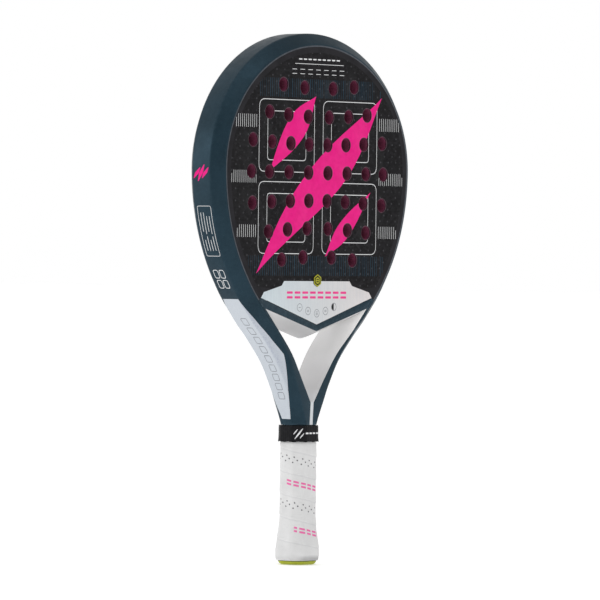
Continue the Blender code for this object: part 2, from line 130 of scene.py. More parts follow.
class Finish:
    """A Principled material and the nodes that shape it. Lengths are in millimetres."""

    def __init__(self, name, colour, roughness, **sockets):
        self.material = bpy.data.materials.new(name)
        self.material.use_nodes = True
        self.tree = self.material.node_tree
        self.sockets = self.tree.nodes["Principled BSDF"].inputs
        self.sockets["Base Color"].default_value = (*colour, 1)
        self.sockets["Roughness"].default_value = roughness
        for key, value in sockets.items():
            self.sockets[key.replace("_", " ")].default_value = value
        self.spot = self.node("TexCoord", output="Object")
        self.base = None
        self.relief = None

    def node(self, kind, inputs=None, output=0, **props):
        return Value(self.tree, kind, inputs, output, **props)

    def place(self, x=1.0, y=1.0, z=1.0):
        """The point on the object in millimetres, with each axis stretched."""
        return self.node("Mapping", {"Vector": self.spot, "Scale": (x / MM, y / MM, z / MM)})

    def noise(self, size, detail=2.0, place=None):
        """Soft noise whose features are this size."""
        inputs = {"Vector": place or self.place(), "Scale": 1 / size, "Detail": detail, "Roughness": 0.5}
        return self.node("TexNoise", inputs, "Fac")

    def cells(self, size, place=None, output="Distance"):
        """Voronoi cells of this size: the distance to their centres, or a colour for each."""
        return self.node("TexVoronoi", {"Vector": place or self.place(), "Scale": 1 / size}, output)

    def edges(self, low=0.51, high=0.56):
        """1 on sharp outer edges, 0 elsewhere."""
        return self.node("NewGeometry", output="Pointiness").span(low, high)

    def blend(self, factor, a, b):
        """Makes the base colour a mix of two."""
        a, b = (colour if isinstance(colour, Value) else (*colour, 1) for colour in (a, b))
        self.base = self.node("Mix", {0: factor, 6: a, 7: b}, 2, data_type="RGBA")
        self.base.link(self.sockets["Base Color"])

    def patches(self, size, detail, a, b):
        """Makes the base colour wander between two over patches of this size."""
        self.blend(self.noise(size, detail).span(0.35, 0.65), a, b)

    def coat(self, factor, r, g, b):
        """Lays an 8-bit colour over the base."""
        self.blend(factor, self.base, srgb(r, g, b))

    def gloss(self, grain, low, high):
        """Makes the roughness follow a grain between low and high."""
        grain.span(0.3, 0.7, low, high).link(self.sockets["Roughness"])

    def bump(self, height, depth):
        """Adds relief of this depth on top of any relief already there."""
        inputs = {"Height": height, "Distance": depth * MM, "Strength": 1.0}
        if self.relief:
            inputs["Normal"] = self.relief
        self.relief = self.node("Bump", inputs)
        self.relief.link(self.sockets["Normal"])

    def lacquer(self, size=1.1, depth=0.006):
        """The faint orange peel of sprayed lacquer."""
        self.bump(self.noise(size), depth)


def make_blue():
    """Dark blue metallic lacquer with fine flecks, lighter on its sharp edges: patchy wear and a painted
    highlight where the edges catch light.
    """
    f = Finish("blue_lacquer", (0.01, 0.03, 0.04), 0.4, Metallic=0.6, Specular_IOR_Level=0.4)
    f.patches(24, 3, srgb(18, 43, 55), srgb(25, 50, 63))
    f.coat(f.cells(0.22, output="Color").span(0.72, 0.98, 0.0, 0.4), 64, 92, 104)
    # Lighter on sharp edges: partly wear, partly a painted highlight where the edges catch light.
    edge_wear_and_highlight = f.edges(0.505, 0.56) * f.noise(3.0, 4).span(0.4, 0.75, 0.1, 0.5)
    f.coat(edge_wear_and_highlight, 84, 106, 118)
    f.gloss(f.noise(7, 3), 0.36, 0.47)
    f.lacquer()
    return f.material


def make_white(name, low, high, painted_glow=0.0, ends=False):
    """White lacquer. The glow is painted light: a lighter colour with a faint emission up the throat's
    front, and a lighter colour below its saddle. ends adds painted light, lighter far from the middle.
    """
    f = Finish(name, high, 0.38, Coat_Weight=0.2, Coat_Roughness=0.25)
    f.patches(30, 3, low, high)
    x, y, z = f.place().xyz()
    if ends:
        # Painted light: lighter far from the middle.
        f.coat(abs(x).span(24.0, 50.0), 207, 207, 208)
    if painted_glow:
        # Painted light: lighter below the throat's saddle.
        f.coat(z.span(145.0, 151.0, 0.6, 0.0), 236, 238, 240)
        # Painted light up the throat's front, strongest towards the front face, with a faint emission there.
        painted_light_up_front = z.span(166.0, 204.0) * y.span(-16.0, 16.0, 1.0, 0.4)
        f.coat(painted_light_up_front, 236, 235, 234)
        f.base.link(f.sockets["Emission Color"])
        (painted_light_up_front * painted_glow).link(f.sockets["Emission Strength"])
    grime = f.noise(1.6, 5).span(0.62, 0.8, 0.0, 0.16)
    f.coat(grime, 178, 176, 174)
    f.gloss(f.noise(9, 3), 0.34, 0.46)
    f.lacquer(1.4, 0.008)
    return f.material


def make_pearl(name, left, right, shaded=False):
    """White with a pearl tint that turns from left to right, and a fine shimmer.

    shaded adds the dotted tone along the panel's fold.
    """
    f = Finish(name, (0.6, 0.6, 0.6), 0.32, Coat_Weight=0.35, Coat_Roughness=0.2)
    x, y, z = f.place().xyz()
    f.blend(x.span(-70.0, 70.0), left, right)
    if shaded:
        depth = abs(y)
        tone = depth.span(8.6, 9.8) * depth.span(10.5, 15.5, 1.0, 0.0) * z.span(146.0, 176.0)
        dots = f.cells(1.1, f.place(x=0.6)).span(0.25, 0.5, 1.0, 0.35)
        f.coat(tone * dots * 0.75, 150, 158, 178)
    shimmer = f.cells(0.35, output="Color").span(0.6, 1.0, 0.0, 0.25)
    f.coat(shimmer, 238, 240, 243)
    brushing = f.noise(1.0, 1, f.place(z=0.04)).span(0.45, 0.62, 0.0, 0.18)
    f.coat(brushing, 176, 184, 194)
    f.gloss(f.noise(6, 3), 0.28, 0.4)
    f.lacquer(1.2)
    return f.material


BUNDLE = 1.0  # width of a fibre bundle
SPECKS = ((0.85, 10.3), (-0.5, 10.2))  # where the raised points start in x and z, and their pitch


def weave(f):
    """Height of a plain weave of fibre bundles."""
    x, _, z = f.place().xyz()
    wave_x, wave_z = ((axis * (math.pi / BUNDLE)).math("SINE") for axis in (x, z))
    return (wave_x * wave_z).span(-0.9, 0.9)


def staggered(f):
    """0 at the points of a staggered grid of diamonds, 0.5 halfway between them."""
    x, _, z = f.place().xyz()
    parts = []
    for axis, (start, pitch) in zip((x, z), SPECKS):
        parts.append(abs(((axis - start) / pitch).math("FRACT") - 0.5))
    return 0.5 - abs(parts[0] + parts[1] - 0.5)


def make_carbon():
    """Woven carbon under a thin resin, with the two printed bands of fine blue lines."""
    f = Finish("carbon_weave", (0.01, 0.01, 0.011), 0.42, Specular_IOR_Level=0.07)
    cloth, grid = weave(f), staggered(f)
    f.blend(cloth.span(0, 1, 0.0, 0.6), srgb(14, 13, 15), srgb(33, 32, 34))
    tow = f.cells(2.2, f.place(x=0.8, z=1.2), "Color")
    f.coat(tow.span(0.3, 0.9, 0.0, 0.62), 43, 42, 45)
    f.coat(f.noise(14, 3).span(0.42, 0.62, 0.0, 0.5), 20, 20, 22)
    speck = grid.span(0.07, 0.12, 1.0, 0.0) * f.noise(9).span(0.32, 0.55)
    f.coat(speck * 0.7, 74, 74, 78)
    x, _, z = f.place().xyz()
    ragged = f.noise(2.6, 1, f.place(z=0.02)).span(0.3, 0.7, -14.0, 14.0)
    aside = abs(x) + ragged
    low = z.between(247.5, 264.5) * aside.span(76.0, 92.0, 1.0, 0.0)
    high = z.between(399.5, 415.5) * aside.span(68.0, 84.0, 1.0, 0.0)
    stripe = (x / 2.6).math("FRACT").between(0.3, 0.58, 0.08)
    strength = f.noise(3.2, 1, f.place(z=0.05)).span(0.3, 0.7, 0.2, 1.0)
    f.coat((low + high) * stripe * strength, 38, 68, 86)
    f.gloss(f.noise(4, 3), 0.36, 0.5)
    f.bump(cloth, 0.012)
    f.bump(grid.span(0.05, 0.2), 0.01)
    return f.material


def make_print(name, colour, other, specular=0.35):
    """Ink printed over the weave, which still shows through as relief. The skins' cut edges and rims use it
    too, and the rims' lighter colour is a painted highlight.
    """
    f = Finish(name, colour, 0.38, Specular_IOR_Level=specular)
    f.patches(5, 4, colour, other)
    darker = [0.6 * c for c in colour]
    f.blend(staggered(f).span(0.05, 0.12, 0.14, 0.0), f.base, darker)
    f.gloss(f.noise(3, 3), 0.33, 0.46)
    f.bump(weave(f), 0.007)
    f.lacquer(0.8, 0.004)
    return f.material


def make_margin():
    """Plain dark resin between the frame and the woven part of a face."""
    f = Finish("satin_margin", (0.02, 0.02, 0.02), 0.36, Specular_IOR_Level=0.1)
    f.patches(12, 4, srgb(26, 25, 29), srgb(36, 35, 39))
    f.gloss(f.noise(2.5, 3), 0.3, 0.44)
    f.lacquer(0.9, 0.008)
    return f.material


def make_foam(name, dark, light, cell=0.55, depth=0.12):
    """Cut foam: open cells between thin walls."""
    f = Finish(name, light, 0.9, Specular_IOR_Level=0.2)
    cells = f.cells(cell)
    f.blend(cells.span(0.1, 0.6), dark, light)
    f.blend(f.noise(5, 4).span(0.35, 0.7, 0.0, 0.4), f.base, dark)
    cells.span(0.0, 0.6, 0.95, 0.8).link(f.sockets["Roughness"])
    f.bump(cells, depth)
    f.bump(f.noise(2.2, 3), depth)
    return f.material


PERIMETER = 91.9  # round the wrap, which its helix uses
PITCH = 19.5
LAP = 6.2  # height of a lap edge where the arc starts
UV_SCALE = 100.0  # millimetres for each unit of the wrap's UV map
PRINT_REPEAT = 2.09 * PERIMETER  # along the strip, from one printed stretch to the next
PUNCH_PITCH = 7.1
PUNCH_ROWS = ((14.5, 0.0), (12.2, -0.36), (9.7, 0.17))  # height on the strip, and shift in pitches
DASH_PITCH = 6.3


def punched_holes(along, across):
    """1 in the small holes punched through the strip in three rows."""
    nearest = None
    for row, shift in PUNCH_ROWS:
        du = ((along / PUNCH_PITCH + (40.0 + shift)).math("FRACT") - 0.5) * PUNCH_PITCH
        dv = across - row
        away = (du * du + dv * dv).math("SQRT")
        nearest = nearest.math("MINIMUM", away) if nearest else away
    return nearest.span(0.45, 0.72, 1.0, 0.0, "SMOOTHSTEP")


def printed_dashes(along, across):
    """1 in the two rows of dashes printed along the strip."""
    dash = (along / DASH_PITCH + 40.1).math("FRACT")
    return dash.between(0.08, 0.8, 0.02) * abs(across - 11.5).between(0.6, 2.3, 0.08)


def make_wrap():
    """White polyurethane wrap: grain, punched holes and printed dashes along the strip, with painted shade
    below the laps, at the foot and in the holes.
    """
    f = Finish("grip_wrap_skin", (0.75, 0.75, 0.75), 0.62, Specular_IOR_Level=0.0)
    u, v, _ = f.node("UVMap", uv_map="wrap").xyz()
    x, _, z = f.place().xyz()
    turns = (v * UV_SCALE - LAP) / PITCH
    turn = turns.math("FLOOR")
    across = (turns - turn) * PITCH
    along = u * UV_SCALE - turn * PERIMETER
    part = (along / PRINT_REPEAT + 8.0).math("FRACT")

    f.patches(18, 4, srgb(219, 219, 219), srgb(227, 227, 227))
    crease = f.noise(1.2, 4, f.place(x=0.3, y=0.3))
    f.coat(crease.span(0.58, 0.78, 0.0, 0.22), 186, 186, 188)
    # Painted shadow just below each lap edge, under the turn above.
    lap_shadow = across.span(PITCH - 1.6, PITCH, 0.0, 0.3)
    f.coat(lap_shadow, 182, 183, 186)
    # Painted shade at the foot, where the wrap turns under, weaker on the left.
    painted_shade_at_foot = z.span(5.4, 8.6, 0.85, 0.0) * x.span(-15.0, -9.0, 0.3, 1.0)
    f.coat(painted_shade_at_foot, 172, 172, 173)
    below_band = z.span(96.0, 96.2, 1.0, 0.0)
    printed = printed_dashes(along, across) * below_band * part.between(0.682, 0.892, 0.002)
    f.coat(printed * 0.85, 236, 78, 160)
    above_flare = z.span(27.0, 27.2)
    # The punched holes are coloured dark grey: painted shade inside them.
    holes = punched_holes(along, across) * (part.between(0.05, 0.43, 0.003) * above_flare)
    f.coat(holes, 88, 88, 92)
    f.gloss(f.noise(2, 3), 0.55, 0.7)
    f.bump(f.cells(0.4), 0.025)
    f.bump(crease, 0.05)
    f.bump(holes, -0.25)
    return f.material


def make_knit():
    """Black elastic: fine ribs round the band and gathered threads."""
    f = Finish("elastic_knit", (0.006, 0.006, 0.007), 0.85, Sheen_Weight=0.2, Sheen_Roughness=0.4)
    f.sockets["Specular IOR Level"].default_value = 0.15
    rib_pitch = 0.9
    _, _, z = f.place().xyz()
    ribs = (z * (2 * math.pi / rib_pitch)).math("SINE").span(-1, 1)
    threads = f.noise(0.35, 2, f.place(z=0.5))
    f.blend((ribs * threads).span(0.1, 0.5), srgb(12, 12, 14), srgb(34, 34, 37))
    f.coat(f.noise(4, 3).span(0.5, 0.75, 0.0, 0.3), 46, 46, 49)
    f.bump(ribs, 0.08)
    f.bump(threads, 0.08)
    return f.material


def make_tape():
    """Dark vinyl tape with stretched creases."""
    f = Finish("vinyl_tape", (0.03, 0.03, 0.03), 0.5)
    crease = f.noise(1.5, 4, f.place(z=0.25))
    f.blend(crease.span(0.35, 0.7), srgb(38, 38, 40), srgb(58, 58, 60))
    f.gloss(f.noise(3, 3), 0.4, 0.6)
    f.bump(crease, 0.05)
    return f.material


def make_moulded(name, low, high, roughness):
    """Moulded plastic: spark-eroded grain, slow shade changes and lighter edges."""
    f = Finish(name, high, roughness)
    f.patches(9, 4, low, high)
    lighter = [min(1.0, c * 1.25 + 0.02) for c in high]
    f.blend(f.edges() * 0.4, f.base, lighter)
    f.gloss(f.noise(3, 3), roughness - 0.07, roughness + 0.1)
    f.bump(f.noise(0.35, 3), 0.02)
    return f.material


def make_steel():
    """Turned screw steel with fine scratches."""
    f = Finish("turned_steel", (0.5, 0.5, 0.51), 0.3, Metallic=1.0)
    scratch = f.noise(0.3, 3, f.place(y=0.1))
    f.blend(scratch.span(0.35, 0.7), srgb(150, 150, 152), srgb(198, 198, 200))
    f.gloss(scratch, 0.22, 0.42)
    f.bump(scratch, 0.01)
    return f.material


def make_gold():
    """Yellow-green metallic ink on the badge."""
    f = Finish("badge_foil", (0.3, 0.3, 0.02), 0.3, Metallic=0.6)
    grain = f.noise(0.25, 3)
    f.blend(grain.span(0.35, 0.65), srgb(146, 146, 22), srgb(182, 180, 44))
    f.gloss(grain, 0.24, 0.4)
    f.bump(grain, 0.01)
    return f.material


BLUE = make_blue()
THROAT_WHITE = make_white("throat_white", srgb(208, 207, 207), srgb(215, 214, 215), 0.23)
# A darker copy of the throat's white: painted shade on the bridge's underside, with painted light towards
# its ends.
SHADED_UNDERSIDE = make_white("underside_white_painted_shade", srgb(183, 183, 184), srgb(191, 191, 192), ends=True)
SPINE = make_white("spine_white", srgb(205, 210, 214), srgb(213, 218, 222))
SIDE_PEARL = make_pearl("side_pearl", srgb(190, 197, 205), srgb(190, 197, 205), shaded=True)
PLATE = make_pearl("plate_pearl", srgb(200, 214, 220), srgb(219, 212, 211))
CARBON = make_carbon()
MARGIN = make_margin()
MAGENTA = make_print("magenta_ink", srgb(232, 17, 129), srgb(239, 23, 136), 0.12)
PINK = make_print("pink_ink", srgb(236, 62, 140), srgb(242, 76, 150), 0.15)
PALE = make_print("pale_ink", srgb(224, 225, 227), srgb(232, 233, 234), 0.2)
GREY = make_print("grey_ink", srgb(120, 124, 132), srgb(132, 136, 143))
DARK = make_print("dark_ink", srgb(20, 20, 22), srgb(27, 27, 29), 0.1)
CUT = make_print("cut_edge", srgb(74, 48, 60), srgb(94, 66, 78), 0.3)
# The skins' rim is coloured lighter: a painted highlight where the edge catches light.
LIP_HIGHLIGHT = make_print("lip_edge_painted_highlight", srgb(60, 66, 74), srgb(74, 80, 88), 0.3)
FOAM = make_foam("head_foam", srgb(94, 40, 62), srgb(148, 72, 102))
HANDLE_FOAM = make_foam("handle_fill", srgb(184, 176, 158), srgb(222, 214, 196), 0.8, 0.15)
CUSHION = make_foam("cushion_foam", srgb(196, 196, 197), srgb(224, 224, 225), 0.4, 0.06)
WRAP = make_wrap()
KNIT = make_knit()
TAPE = make_tape()
LIME = make_moulded("lime_plastic", srgb(150, 157, 8), srgb(165, 172, 14), 0.42)
NYLON = make_moulded("black_nylon_grain", srgb(26, 26, 27), srgb(36, 36, 37), 0.5)
STEEL = make_steel()
GOLD = make_gold()

# ---------------------------------------------------------------- mesh helpers


def piece(name, points, faces, materials, marks=None, slot=None, replaces=(), body="racket", sharp=32):
    """A shown object from points in millimetres, riding on a body."""
    mesh = bpy.data.meshes.new(name)
    mesh.from_pydata([Vector(p) * MM for p in points], [], faces)
    for material in materials:
        mesh.materials.append(material)
    if marks is not None:
        mesh.polygons.foreach_set("material_index", marks)
    bm = bmesh.new()
    bm.from_mesh(mesh)
    bmesh.ops.recalc_face_normals(bm, faces=bm.faces[:])
    bm.to_mesh(mesh)
    bm.free()
    mesh.shade_smooth()
    mesh.set_sharp_from_angle(angle=math.radians(sharp))
    obj = bpy.data.objects.new(name, mesh)
    bpy.context.collection.objects.link(obj)
    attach(obj, body)
    if replaces:
        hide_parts(*replaces)
    return obj


def loft(rings, marks=None, closed=False):
    """Points and quads through rings of equal length, with end caps unless it closes on itself."""
    count = len(rings[0])
    points = [point for ring in rings for point in ring]
    faces, tags = [], []
    last = len(rings) if closed else len(rings) - 1
    for r in range(last):
        low, high = r * count, (r + 1) % len(rings) * count
        for i in range(count):
            j = (i + 1) % count
            faces.append((low + i, low + j, high + j, high + i))
            tags.append(marks(r, i) if marks else 0)
    if not closed:
        faces.append(tuple(range(count)))
        faces.append(tuple(range((len(rings) - 1) * count, len(rings) * count)))
        tags += [0, 0]
    return points, faces, tags


def rounded(corners, trims, steps=4):
    """A closed outline whose corners are rounded, each from its own trim length."""
    corners = [np.array(corner, float) for corner in corners]
    out = []
    for i, (here, trim) in enumerate(zip(corners, trims)):
        if not trim:
            out.append(here)
            continue
        back, ahead = corners[i - 1] - here, corners[(i + 1) % len(corners)] - here
        a = here + back / np.linalg.norm(back) * trim
        b = here + ahead / np.linalg.norm(ahead) * trim
        for k in range(steps + 1):
            t = k / steps
            out.append((1 - t) ** 2 * a + 2 * t * (1 - t) * here + t * t * b)
    return out


def circle(x, z, radius, sides=40):
    angles = [2 * math.pi * i / sides for i in range(sides)]
    return [(x + radius * math.cos(a), z + radius * math.sin(a)) for a in angles]


def box(x0, z0, x1, z1, radius=0.0):
    corners = [(x0, z0), (x1, z0), (x1, z1), (x0, z1)]
    if radius:
        return [tuple(point) for point in rounded(corners, [radius] * 4, 5)]
    return corners


def mirrored(points):
    return [(-x, z) for x, z in reversed(points)]


def flip(half):
    """A closed outline from its right half, which starts on the centre line at the bottom."""
    return list(half) + [(-x, z) for x, z in reversed(half) if abs(x) > 0.05]


def area(points):
    return sum(a[0] * b[1] - b[0] * a[1] for a, b in zip(points[-1:] + points[:-1], points)) / 2


def outward(loop, coords):
    """The way out of the material at each vertex of a boundary loop, with the material on its left."""
    ways = []
    for i, here in enumerate(loop):
        a, b, c = (np.array(coords[k]) for k in (loop[i - 1], here, loop[(i + 1) % len(loop)]))
        normals = []
        for start, end in ((a, b), (b, c)):
            d = (end - start) / max(np.linalg.norm(end - start), 1e-9)
            normals.append(np.array((d[1], -d[0])))
        way = normals[0] + normals[1]
        ways.append(way / max(way @ normals[0], 0.4))
    return ways


def edge_loops(triangles):
    """The boundary loops of a flat mesh, and the triangle on the left of each directed edge."""
    owner = {}
    for k, triangle in enumerate(triangles):
        for i, start in enumerate(triangle):
            owner[(start, triangle[(i + 1) % len(triangle)])] = k
    following = {a: b for a, b in owner if (b, a) not in owner}
    left, loops = set(following), []
    while left:
        loop, here = [], min(left)
        while here in left:
            left.discard(here)
            loop.append(here)
            here = following[here]
        loops.append(loop)
    return loops, owner


def printed_plate(outline, holes, art, paint):
    """Points and triangles that fill an outline round its holes, and the material on each triangle."""
    shapes = [("outline", outline)] + [("hole", points) for points in holes] + list(art)
    coords, faces = [], []
    for _, points in shapes:
        points = list(points) if area(list(points)) > 0 else list(reversed(points))
        faces.append(list(range(len(coords), len(coords) + len(points))))
        coords += [Vector((float(p[0]), float(p[1]))) for p in points]
    found, _, triangles, _, _, sources = delaunay_2d_cdt(coords, [], faces, 1, 1e-4, True)
    top, inks = [], []
    for triangle, ids in zip(triangles, sources):
        tags = [shapes[i][0] for i in ids]
        if 0 in ids and "hole" not in tags:
            top.append(tuple(triangle))
            inks.append(paint(tags))
    used = sorted({i for triangle in top for i in triangle})
    number = {i: n for n, i in enumerate(used)}
    top = [tuple(number[i] for i in triangle) for triangle in top]
    return [(found[i].x, found[i].y) for i in used], top, inks


def slab(name, place, outline, holes, art, paint, rim, bore, materials, cut=None, **options):
    """A drilled plate with flat artwork on its top. Its first material is its walls and its back.

    place turns (x, z, depth) into a point. art holds (tag, polygon) pairs, and paint picks a material
    from the tags over a triangle. rim and bore hold (offset, depth) rings down the outer edge and down
    each hole. cut is the material of the rolled edge of a hole, which is as wide as a rolled rim.
    """
    flat, top, inks = printed_plate(outline, holes, art, paint)
    loops, owner = edge_loops(top)
    points = [place(x, z, 0.0) for x, z in flat]
    faces, marks = list(top), [materials.index(ink) for ink in inks]
    rolled_rings = 3 if cut else 1
    floor_of = {}
    for loop in loops:
        shape = [flat[i] for i in loop]
        outer_edge = area(shape) > 0
        ways = outward(loop, flat)
        before = loop
        for step, (offset, depth) in enumerate(rim if outer_edge else bore):
            now = list(range(len(points), len(points) + len(loop)))
            points += [place(x + w[0] * offset, z + w[1] * offset, depth) for (x, z), w in zip(shape, ways)]
            for i in range(len(loop)):
                j = (i + 1) % len(loop)
                faces.append((before[i], before[j], now[j], now[i]))
                ink = inks[owner[(loop[i], loop[j])]] if outer_edge or not cut else cut
                marks.append(materials.index(ink) if step < rolled_rings else 0)
            before = now
        floor_of.update(zip(loop, before))
    for i, (x, z) in enumerate(flat):
        if i not in floor_of:
            floor_of[i] = len(points)
            points.append(place(x, z, rim[-1][1]))
    for triangle in top:
        faces.append(tuple(floor_of[i] for i in reversed(triangle)))
        marks.append(0)
    return piece(name, points, faces, materials, marks, **options)


def films(name, patches, material, slot, lift=0.06, sink=0.12, body="racket"):
    """Thin closed layers as one object, such as printed marks. A patch is rows of points and normals."""
    points, faces = [], []
    for rows in patches:
        pairs = [pair for row in rows for pair in row]
        first, columns, under = len(points), len(rows[0]), len(pairs)
        points += [p + n * lift for p, n in pairs] + [p - n * sink for p, n in pairs]
        top = []
        for i in range(len(rows) - 1):
            for a in range(first + i * columns, first + (i + 1) * columns - 1):
                top.append((a, a + 1, a + 1 + columns, a + columns))
        faces += top + [tuple(under + k for k in reversed(quad)) for quad in top]
        for loop in edge_loops(top)[0]:
            faces += [(a, b, under + b, under + a) for a, b in zip(loop, loop[1:] + loop[:1])]
    return piece(name, points, faces, [material], body=body, slot=slot)


# ---------------------------------------------------------------- the frame's path

# Throat leg: outer x, z, inner x, z, half depth, half side flat, chamfer.
LEGS = np.array([
    (17.0, 119.8, 1.75, 119.8, 14.3, 5.3, 10.0),
    (20.6, 136.0, 1.75, 139.0, 15.2, 7.8, 7.2),
    (28.0, 152.6, 15.0, 160.0, 16.0, 9.0, 7.2),
    (39.8, 172.5, 29.5, 181.0, 17.4, 9.3, 8.4),
    (57.2, 192.8, 49.0, 201.0, 19.0, 10.0, 9.0),
    (75.5, 210.7, 66.5, 219.5, 19.0, 10.0, 9.3),
])
HALF_WIDTH, FACE, TIP = node_box("frame_tube")[1]
WIDEST = 338.0  # height of the head's widest line
DROP = 153.0  # from there down to the lower ellipse's own tip
WALL = 14.0  # across the tube
UNDER = 17.7  # depth of the foam and of the tube beneath the skins
START = -math.asin(98.0 / DROP)  # where the ellipse takes over from the throat
SKIN_Q = 5.32  # where the skins begin on the path


def head(angle):
    """A point on the head's outline and the way out of it."""
    lift = TIP - WIDEST if angle > 0 else DROP
    point = np.array((HALF_WIDTH * math.cos(angle), WIDEST + lift * math.sin(angle)))
    out = np.array((math.cos(angle) / HALF_WIDTH, math.sin(angle) / lift))
    return point, out / np.linalg.norm(out)


def curve(points, q):
    """A smooth curve through points, at q along them."""
    i = min(int(q), len(points) - 2)
    t = q - i
    a, b, c, d = (points[k] for k in (max(i - 1, 0), i, i + 1, min(i + 2, len(points) - 1)))
    return 0.5 * (2 * b + (c - a) * t + (2 * a - 5 * b + 4 * c - d) * t**2 + (3 * (b - c) + d - a) * t**3)


OUTERS = np.vstack([LEGS[:, :2], head(START)[0], head(START / 2)[0]])
WALL_END = head(START)[0] - head(START)[1] * WALL


class Section:
    """The tube's section at q: 0 to 5 up the leg, 6 where the ellipse starts, 7 widest, 8 the tip."""

    def __init__(self, q):
        if q < 5:
            self.outer = curve(OUTERS[:7], q)
            straight = LEGS[0, 2:4] + (LEGS[1, 2:4] - LEGS[0, 2:4]) * q
            self.inner = curve(LEGS[1:, 2:4], q - 1) if q > 1 else straight
            self.depth, self.side, self.chamfer = curve(LEGS[:, 4:], q)
            self.depth = min(self.depth, FACE)
        else:
            self.depth, self.side, self.chamfer = LEGS[-1, 4:]
            if q < 6:
                self.outer = curve(OUTERS, q)
                self.inner = LEGS[5, 2:4] + (WALL_END - LEGS[5, 2:4]) * (q - 5)
            else:
                self.outer, out = head(START * (7 - q) if q < 7 else math.pi / 2 * (q - 7))
                self.inner = self.outer - out * WALL
        self.wall = np.linalg.norm(self.inner - self.outer)
        self.across = (self.inner - self.outer) / self.wall

    def at(self, distance):
        return self.outer + self.across * distance


def stretches(*parts):
    """Places on the path along stretches of (from, to, count), with each shared end once."""
    places = []
    for start, end, count in parts:
        run = list(np.linspace(start, end, count))
        places += run[1:] if places else run
    return places


def section_ring(outer, across, wall, depth, side, chamfer, step):
    """The tube's rounded section as points. Beyond the lip, its front and rear step in to step."""
    lip = min(10.05, wall - 1.3)
    half = [(0, -side, 1.4), (chamfer, -depth, 1.0), (lip, -depth, 0), (lip + 0.05, -step, 0)]
    half.append((wall, -step, 0.8))
    corners = half + [(u, -y, trim) for u, y, trim in reversed(half)]
    ring = []
    for u, y in rounded([(u, y) for u, y, _ in corners], [trim for _, _, trim in corners]):
        x, z = outer + across * u
        ring.append((x, y, z))
    return ring


def frame_rings():
    """Sections from the handle's foot to the tip, and where each lies on the path."""
    rings, paths = [], []
    for z in (12.0, 60.0, 119.6):
        rings.append(section_ring(np.array((12.5, z)), np.array((-1.0, 0.0)), 10.2, 10.9, 5.3, 5.6, 10.9))
        paths.append(-1.0)
    low = stretches((0, 5, 66), (5, SKIN_Q, 8))
    high = stretches((SKIN_Q + 0.001, 6, 12), (6, 7, 44), (7, 8, 60))
    for q in low + high:
        s = Section(q)
        step = s.depth if q <= SKIN_Q else UNDER
        rings.append(section_ring(s.outer, s.across, s.wall, s.depth, s.side, s.chamfer, step))
        paths.append(q)
    return rings, paths


def make_frame():
    """The tube, blue outside and white on the inner walls of the throat."""
    rings, paths = frame_rings()
    left = [[(-x, y, z) for x, y, z in ring] for ring in reversed(rings[:-1])]
    where = paths + list(reversed(paths[:-1]))
    middle = len(rings[0]) // 2  # the inner wall's columns lie round this one
    throat_end = 5.7

    def marks(r, i):
        on_throat = min(where[r], where[min(r + 1, len(where) - 1)]) >= 0 and where[r] < throat_end
        return 1 if on_throat and middle - 3 <= i < middle + 2 else 0

    points, faces, tags = loft(rings + left, marks)
    piece("frame_shell", points, faces, [BLUE, THROAT_WHITE], tags, "frame_paint", ["frame_tube"])


# ---------------------------------------------------------------- head

HOLE_ROWS = (  # distance from the middle row, and how far out the holes are
    (0.0, (12.8, 38.3, 63.7, 86.9)),
    (24.0, (12.1, 36.4, 60.4, 85.2)),
    (47.6, (13.85, 39.6, 64.25)),
    (72.0, (18.75, 46.65)),
)
MIDDLE_ROW = 335.7
ROW_SPREAD = 0.000016  # rows spread apart with the square of the distance from the centre line
HOLES = []
for height, places in HOLE_ROWS:
    for row in sorted({height, -height}):
        for x in places:
            z = MIDDLE_ROW + row * (1 + ROW_SPREAD * x * x)
            HOLES += [(x, z), (-x, z)]
RADIUS = 5.85
SKIN_V = 205.5  # the skins' lower edge on the centre line
SKIN_RISE = 0.315  # its slope


def outline_inside(inset, first, *start):
    """An outline moved in from the tube's side, from first on the path, above the start's points."""
    return flip([*start] + [tuple(Section(q).at(inset)) for q in first])


def skin_outline(inset):
    path = stretches((SKIN_Q + 0.01, 6, 14), (6, 7, 46), (7, 8, 56))
    corner = tuple(Section(path[0]).inner + (0.0, 0.15))
    return outline_inside(inset, path, (0.0, SKIN_V + 0.2), corner)


def blade(x0, z0, x1, z1, wide, lean, bow=0.0, steps=24):
    """A slanted blade that tapers to both ends, and is widest at lean along it. bow bends it in an S."""
    start, end = np.array((x0, z0), float), np.array((x1, z1), float)
    along = end - start
    side = np.array((-along[1], along[0])) / np.linalg.norm(along)
    right, left = [], []
    for i in range(steps + 1):
        t = i / steps
        half = wide / 2 * math.sin(math.pi / 2 * (t / lean if t < lean else (1 - t) / (1 - lean))) ** 1.15
        here = start + along * t + side * bow * math.sin(2 * math.pi * t)
        right.append(tuple(here - side * half))
        left.append(tuple(here + side * half))
    return right + list(reversed(left[1:-1]))


def line_frames():
    """Four pairs of nested rounded frames drawn with thin lines."""
    art, radius = [], 7.0
    for sx in (-1, 1):
        for z0, z1 in ((266.0, 327.5), (335.5, 397.5)):
            x0, x1 = sorted((5.5 * sx, 78.0 * sx))
            for s in (0.0, 11.0):
                t, r = s * 0.9, radius - s * 0.3
                outer = box(x0 + s, z0 + t, x1 - s, z1 - t, r)
                inner = box(x0 + s + 0.5, z0 + t + 0.6, x1 - s - 0.5, z1 - t - 0.6, r - 0.5)
                art += [("line", outer), ("line_in", inner)]
    return art


